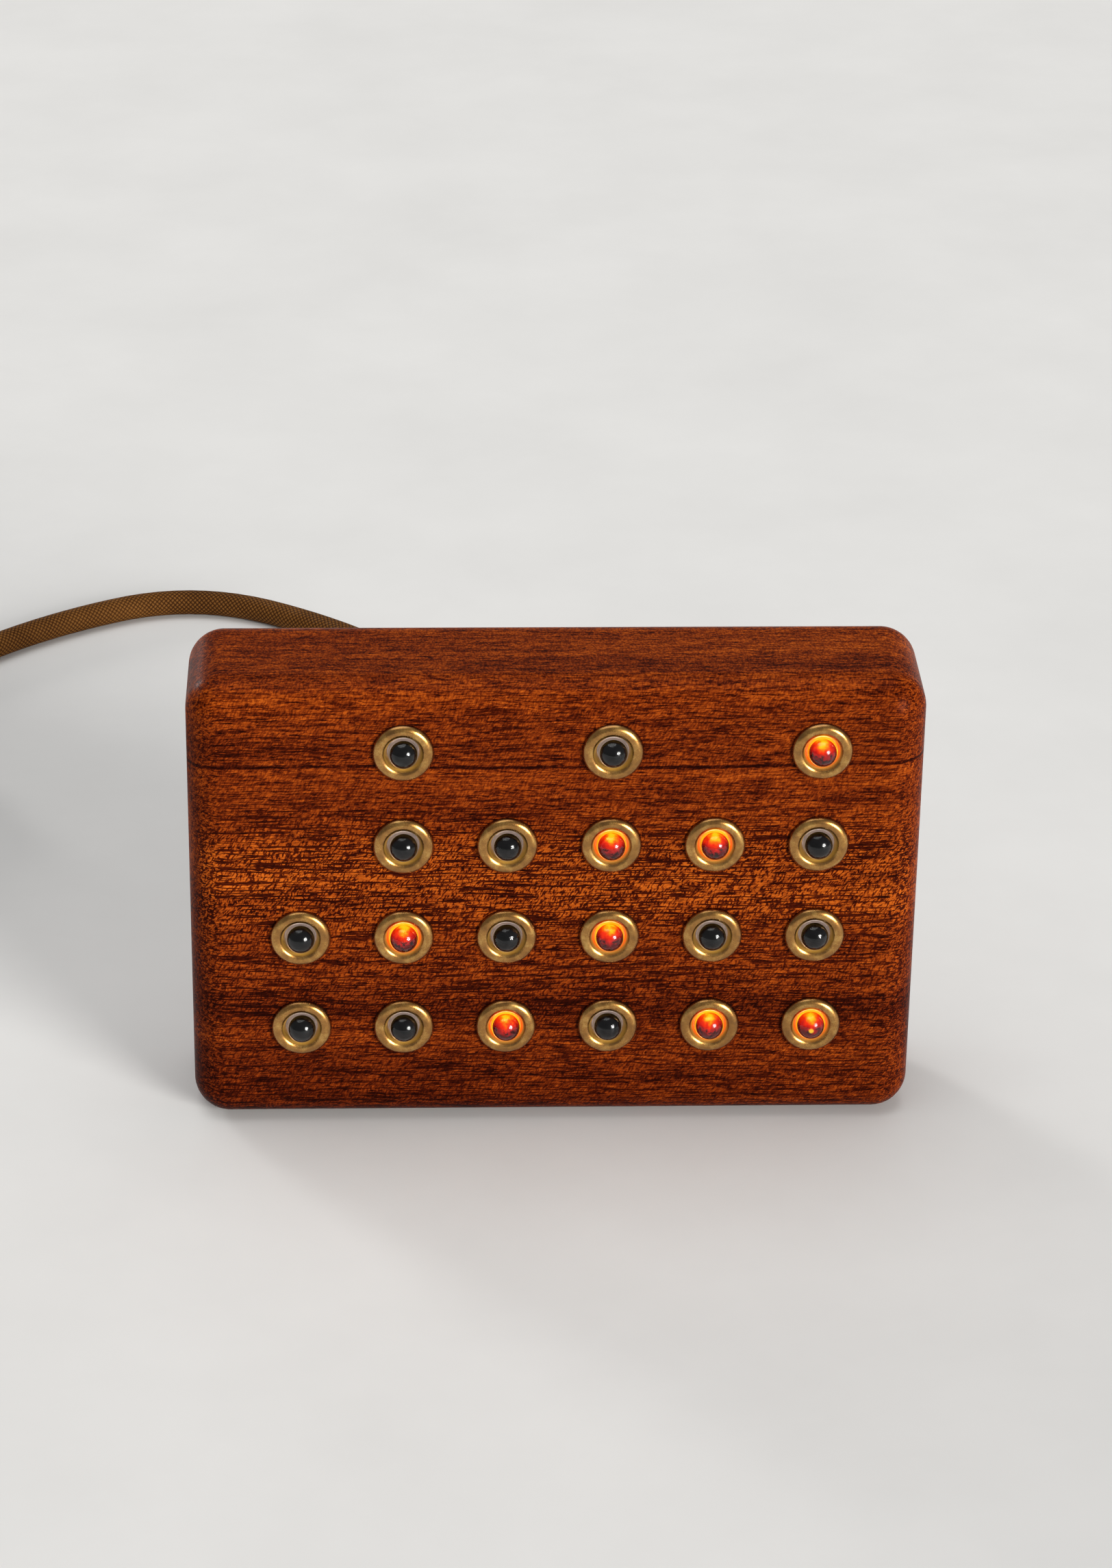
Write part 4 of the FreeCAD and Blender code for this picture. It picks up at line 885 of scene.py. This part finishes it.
def cut_slot(points, faces, half_width, depth):
    """The points and faces of a screw that stands on the Z axis, with a slot along Y pressed into its top."""
    wall = 0.02
    shape = bmesh.new()
    made = [shape.verts.new(p) for p in points]
    for face in faces:
        shape.faces.new([made[i] for i in face])
    for offset in (-half_width - wall, -half_width, half_width, half_width + wall):
        everything = shape.verts[:] + shape.edges[:] + shape.faces[:]
        bmesh.ops.bisect_plane(shape, geom=everything, plane_co=(offset, 0, 0), plane_no=(1, 0, 0))
    for vertex in shape.verts:
        if abs(vertex.co.x) < half_width + wall / 2 and vertex.co.z > -depth / 2:
            vertex.co.z -= depth
    shape.verts.index_update()
    cut_points = [v.co.copy() for v in shape.verts]
    cut_faces = [[v.index for v in f.verts] for f in shape.faces]
    shape.free()
    return cut_points, cut_faces


def make_panel_screws():
    """Countersunk brass screws with a slot, each turned to its own angle."""
    low, high = box_in_mm("panel_screws")
    head, shank, tip, length = 2.3, 1.0, 0.6, 9.0
    profile = [(0, -length), (tip, 0.4 - length), (shank, 1.4 - length), (shank, -1.3)]
    profile += [(head - 0.05, -0.06), (head, 0.0)]
    profile += [(head - 0.12, 0.0), (1.4, 0.0), (0.7, 0.0), (0, 0.0)]
    spots = [(x, z) for x in (low.x + head, high.x - head) for z in (low.z + head, high.z - head)]
    parts = []
    for number, (x, z) in enumerate(spots):
        turn = FACING_BACK @ Matrix.Rotation(math.radians(25 + 67 * number), 4, "Z")
        slotted = cut_slot(*turned(profile, 40), half_width=0.28, depth=0.55)
        parts.append((*slotted, at(x, PANEL_FACE, z, turn)))
    piece("slotted_screws", parts, "screw_brass", replaced=["panel_screws"])


def make_cap(node_name):
    """A set button: a rounded rim, a dished top, a collar behind the panel and a stem to its switch."""
    low, high = box_in_mm(node_name)
    end, top = low.y - PANEL_FACE, high.y - PANEL_FACE
    stem, collar, cap, rounding = 1.7, 4.0, 3.0, 0.6
    collar_end, collar_top = -4.2, -3.2
    profile = [(0, end), (stem - 0.1, end), (stem, end + 0.2), (stem, collar_end), (collar, collar_end)]
    profile += [(collar, collar_top), (cap, collar_top), (cap, top - rounding)]
    profile += arc((cap - rounding, top - rounding), (rounding, rounding), 0, 90, 6)[1:]
    profile += [(2.0, top - 0.08), (1.4, top - 0.26), (0.7, top - 0.36), (0, top - 0.4)]
    middle = (low + high) / 2
    part = (*turned(profile, 48), at(middle.x, PANEL_FACE, middle.z, FACING_BACK))
    piece(node_name + "_cap", [part], "button_plastic", body=node_name, replaced=[node_name])


def make_strain_relief():
    """The tapered strain relief: a shoulder on the panel, then ribs that shrink towards the cord."""
    low, high = box_in_mm("cord_grommet")
    inner, end = low.y - PANEL_FACE, high.y - PANEL_FACE
    foot, neck, shoulder, panel = 5.5, 4.0, 5.0, 3.0
    profile = [(0, inner), (foot, inner), (foot, -panel), (neck, -panel)]
    profile += [(neck, 0.0), (shoulder, 0.0), (shoulder, 1.0), (shoulder - 0.25, 1.4)]
    ribs, first_rib, groove = 5, 1.8, 0.75
    rib_pitch = (end - 2.4) / ribs
    for rib in range(ribs):
        base = first_rib + rib * rib_pitch
        outer = 4.7 - 1.1 * rib / ribs
        profile += [(outer - groove, base), (outer - groove, base + 0.5), (outer, base + 0.8)]
        profile += [(outer - 0.1, base + rib_pitch - 0.25)]
    profile += [(3.3, end - 0.3), (3.1, end), (0, end)]
    exit_x, _, exit_z = CORD_ROUTE[0]
    part = (*turned(profile, 48), at(exit_x, PANEL_FACE, exit_z, FACING_BACK))
    return piece("strain_relief", [part], "grommet_rubber", replaced=["cord_grommet"])


make_panel_screws()
make_cap("hour_button")
make_cap("minute_button")
relief = make_strain_relief()


# ------------------------------------------------------------------------------------------ tie and plug


def make_tie():
    """A strap that goes once round the coil, its edges softened."""
    low, high = box_in_mm("cord_tie")
    middle, half = (low + high) / 2, (high - low) / 2
    thickness, corner, softened = 0.6, 2.3, 0.12
    reach = half.y - softened
    across = [(-half.y, 0), (-reach, 1), (reach, 1), (half.y, 0), (reach, -1), (-reach, -1)]
    rings = []
    for x, z in rounded_outline(half.x - thickness / 2, half.z - thickness / 2, corner, 8):
        length = math.hypot(x, z)
        out_x, out_z = x / length * thickness / 2, z / length * thickness / 2
        rings.append([Vector((x + out_x * side, y, z + out_z * side)) for y, side in across])
    points = [point for ring in rings for point in ring]
    strap_part = (points, joined_rings(len(rings), len(across), closed=True), at(*middle))
    return piece("strap", [strap_part], "tie_strap", replaced=["cord_tie"])


def make_grip():
    """The plug's moulded grip: a ribbed boot that swells into a rounded handle with finger grooves."""
    low, high = box_in_mm("plug_grip")
    middle, half = (low + high) / 2, (high - low) / 2
    wide, tall, length = half.x, half.z, high.y - low.y
    ribs, rib_pitch, grooves, groove_pitch = 4, 1.75, 5, 2.0
    # (distance from the cord's end, half width, half height, corner radius)
    stations = [(0.0, 3.0, 3.0, 3.0), (0.3, 3.2, 3.2, 3.2)]
    for rib in range(ribs):
        start = 0.9 + rib * rib_pitch
        size = 3.2 + 0.08 * rib
        rib_places = [(0.0, size - 0.45), (0.45, size - 0.45), (0.6, size), (1.55, size)]
        stations += [(start + along, radius, radius, radius) for along, radius in rib_places]
    boot = 8.0
    stations += [(boot, 3.45, 3.45, 3.4), (boot + 0.25, wide - 1.1, tall - 0.35, 2.4)]
    stations += [(boot + 0.8, wide - 0.4, tall - 0.1, 2.5), (boot + 1.6, wide, tall, 2.5)]
    for groove in range(grooves):
        start = boot + 6.0 + groove * groove_pitch
        stations += [(start, wide, tall, 2.5), (start + 0.3, wide - 0.35, tall - 0.02, 2.4)]
        stations += [(start + 0.9, wide - 0.35, tall - 0.02, 2.4), (start + 1.2, wide, tall, 2.5)]
    stations += [(length - 1.2, wide, tall, 2.4), (length - 0.5, wide - 0.2, tall - 0.2, 2.3)]
    stations += [(length - 0.1, wide - 0.6, tall - 0.6, 2.0), (length, wide - 0.9, tall - 0.9, 1.8)]
    sections = []
    for along, half_width, half_height, corner in stations:
        outline = rounded_outline(half_width, half_height, min(corner, half_width, half_height), 6)
        sections.append([(x, high.y - along, z) for x, z in outline])
    part = (*loft(sections), at(middle.x, 0, middle.z))
    return piece("grip", [part], "plug_plastic", replaced=["plug_grip"])


strap = make_tie()
grip = make_grip()


# ------------------------------------------------------------------------------------------------- stage


def make_floor():
    """A wide pale floor, a hair below the clock."""
    half = FLOOR_SIDE / 2
    corners = [(-half, -half), (half, -half), (half, half), (-half, half)]
    mesh = bpy.data.meshes.new("floor")
    mesh.from_pydata([(x, y, -FLOOR_DROP * MM) for x, y in corners], [], [(0, 1, 2, 3)])
    paper = speckled_finish("pale_floor", *FLOOR_SHADES, 0.02, 0.75, depth=0.0, Specular_IOR_Level=0.2)
    mesh.materials.append(paper)
    floor = in_scene("floor", mesh)


def make_lamp(name, towards, spread, power, colour):
    """A soft lamp so far away, in a direction, that it lights the whole floor evenly."""
    lamp = bpy.data.lights.new(name, "SUN")
    lamp.angle = spread
    lamp.energy = power
    lamp.color = colour
    in_scene(name, lamp).rotation_euler = (-Vector(towards)).to_track_quat("-Z", "Y").to_euler()


def make_world():
    """Even pale light from all round, which is also the background."""
    world = bpy.data.worlds.new("studio")
    bpy.context.scene.world = world
    world.use_nodes = True
    shade = world.node_tree.nodes["Background"]
    shade.inputs["Color"].default_value = (1.0, 1.0, 1.0, 1.0)
    shade.inputs["Strength"].default_value = WORLD_LEVEL


def make_camera():
    """The photograph's camera."""
    data = bpy.data.cameras.new("camera")
    data.sensor_width = SENSOR
    data.lens = FOCAL_LENGTH / PHOTO_HEIGHT * SENSOR
    data.clip_start = NEAREST_SEEN
    turn = Matrix.Rotation(math.radians(-CAMERA_YAW), 4, "Z")
    turn @= Matrix.Rotation(math.radians(90 - CAMERA_PITCH), 4, "X")
    turn @= Matrix.Rotation(math.radians(CAMERA_ROLL), 4, "Z")
    camera = in_scene("camera", data)
    camera.matrix_world = Matrix.Translation(CAMERA_PLACE) @ turn
    bpy.context.scene.camera = camera


make_floor()
for lamp_facts in LAMPS:
    make_lamp(*lamp_facts)
make_world()
make_camera()
bpy.context.scene.view_settings.view_transform = "Standard"
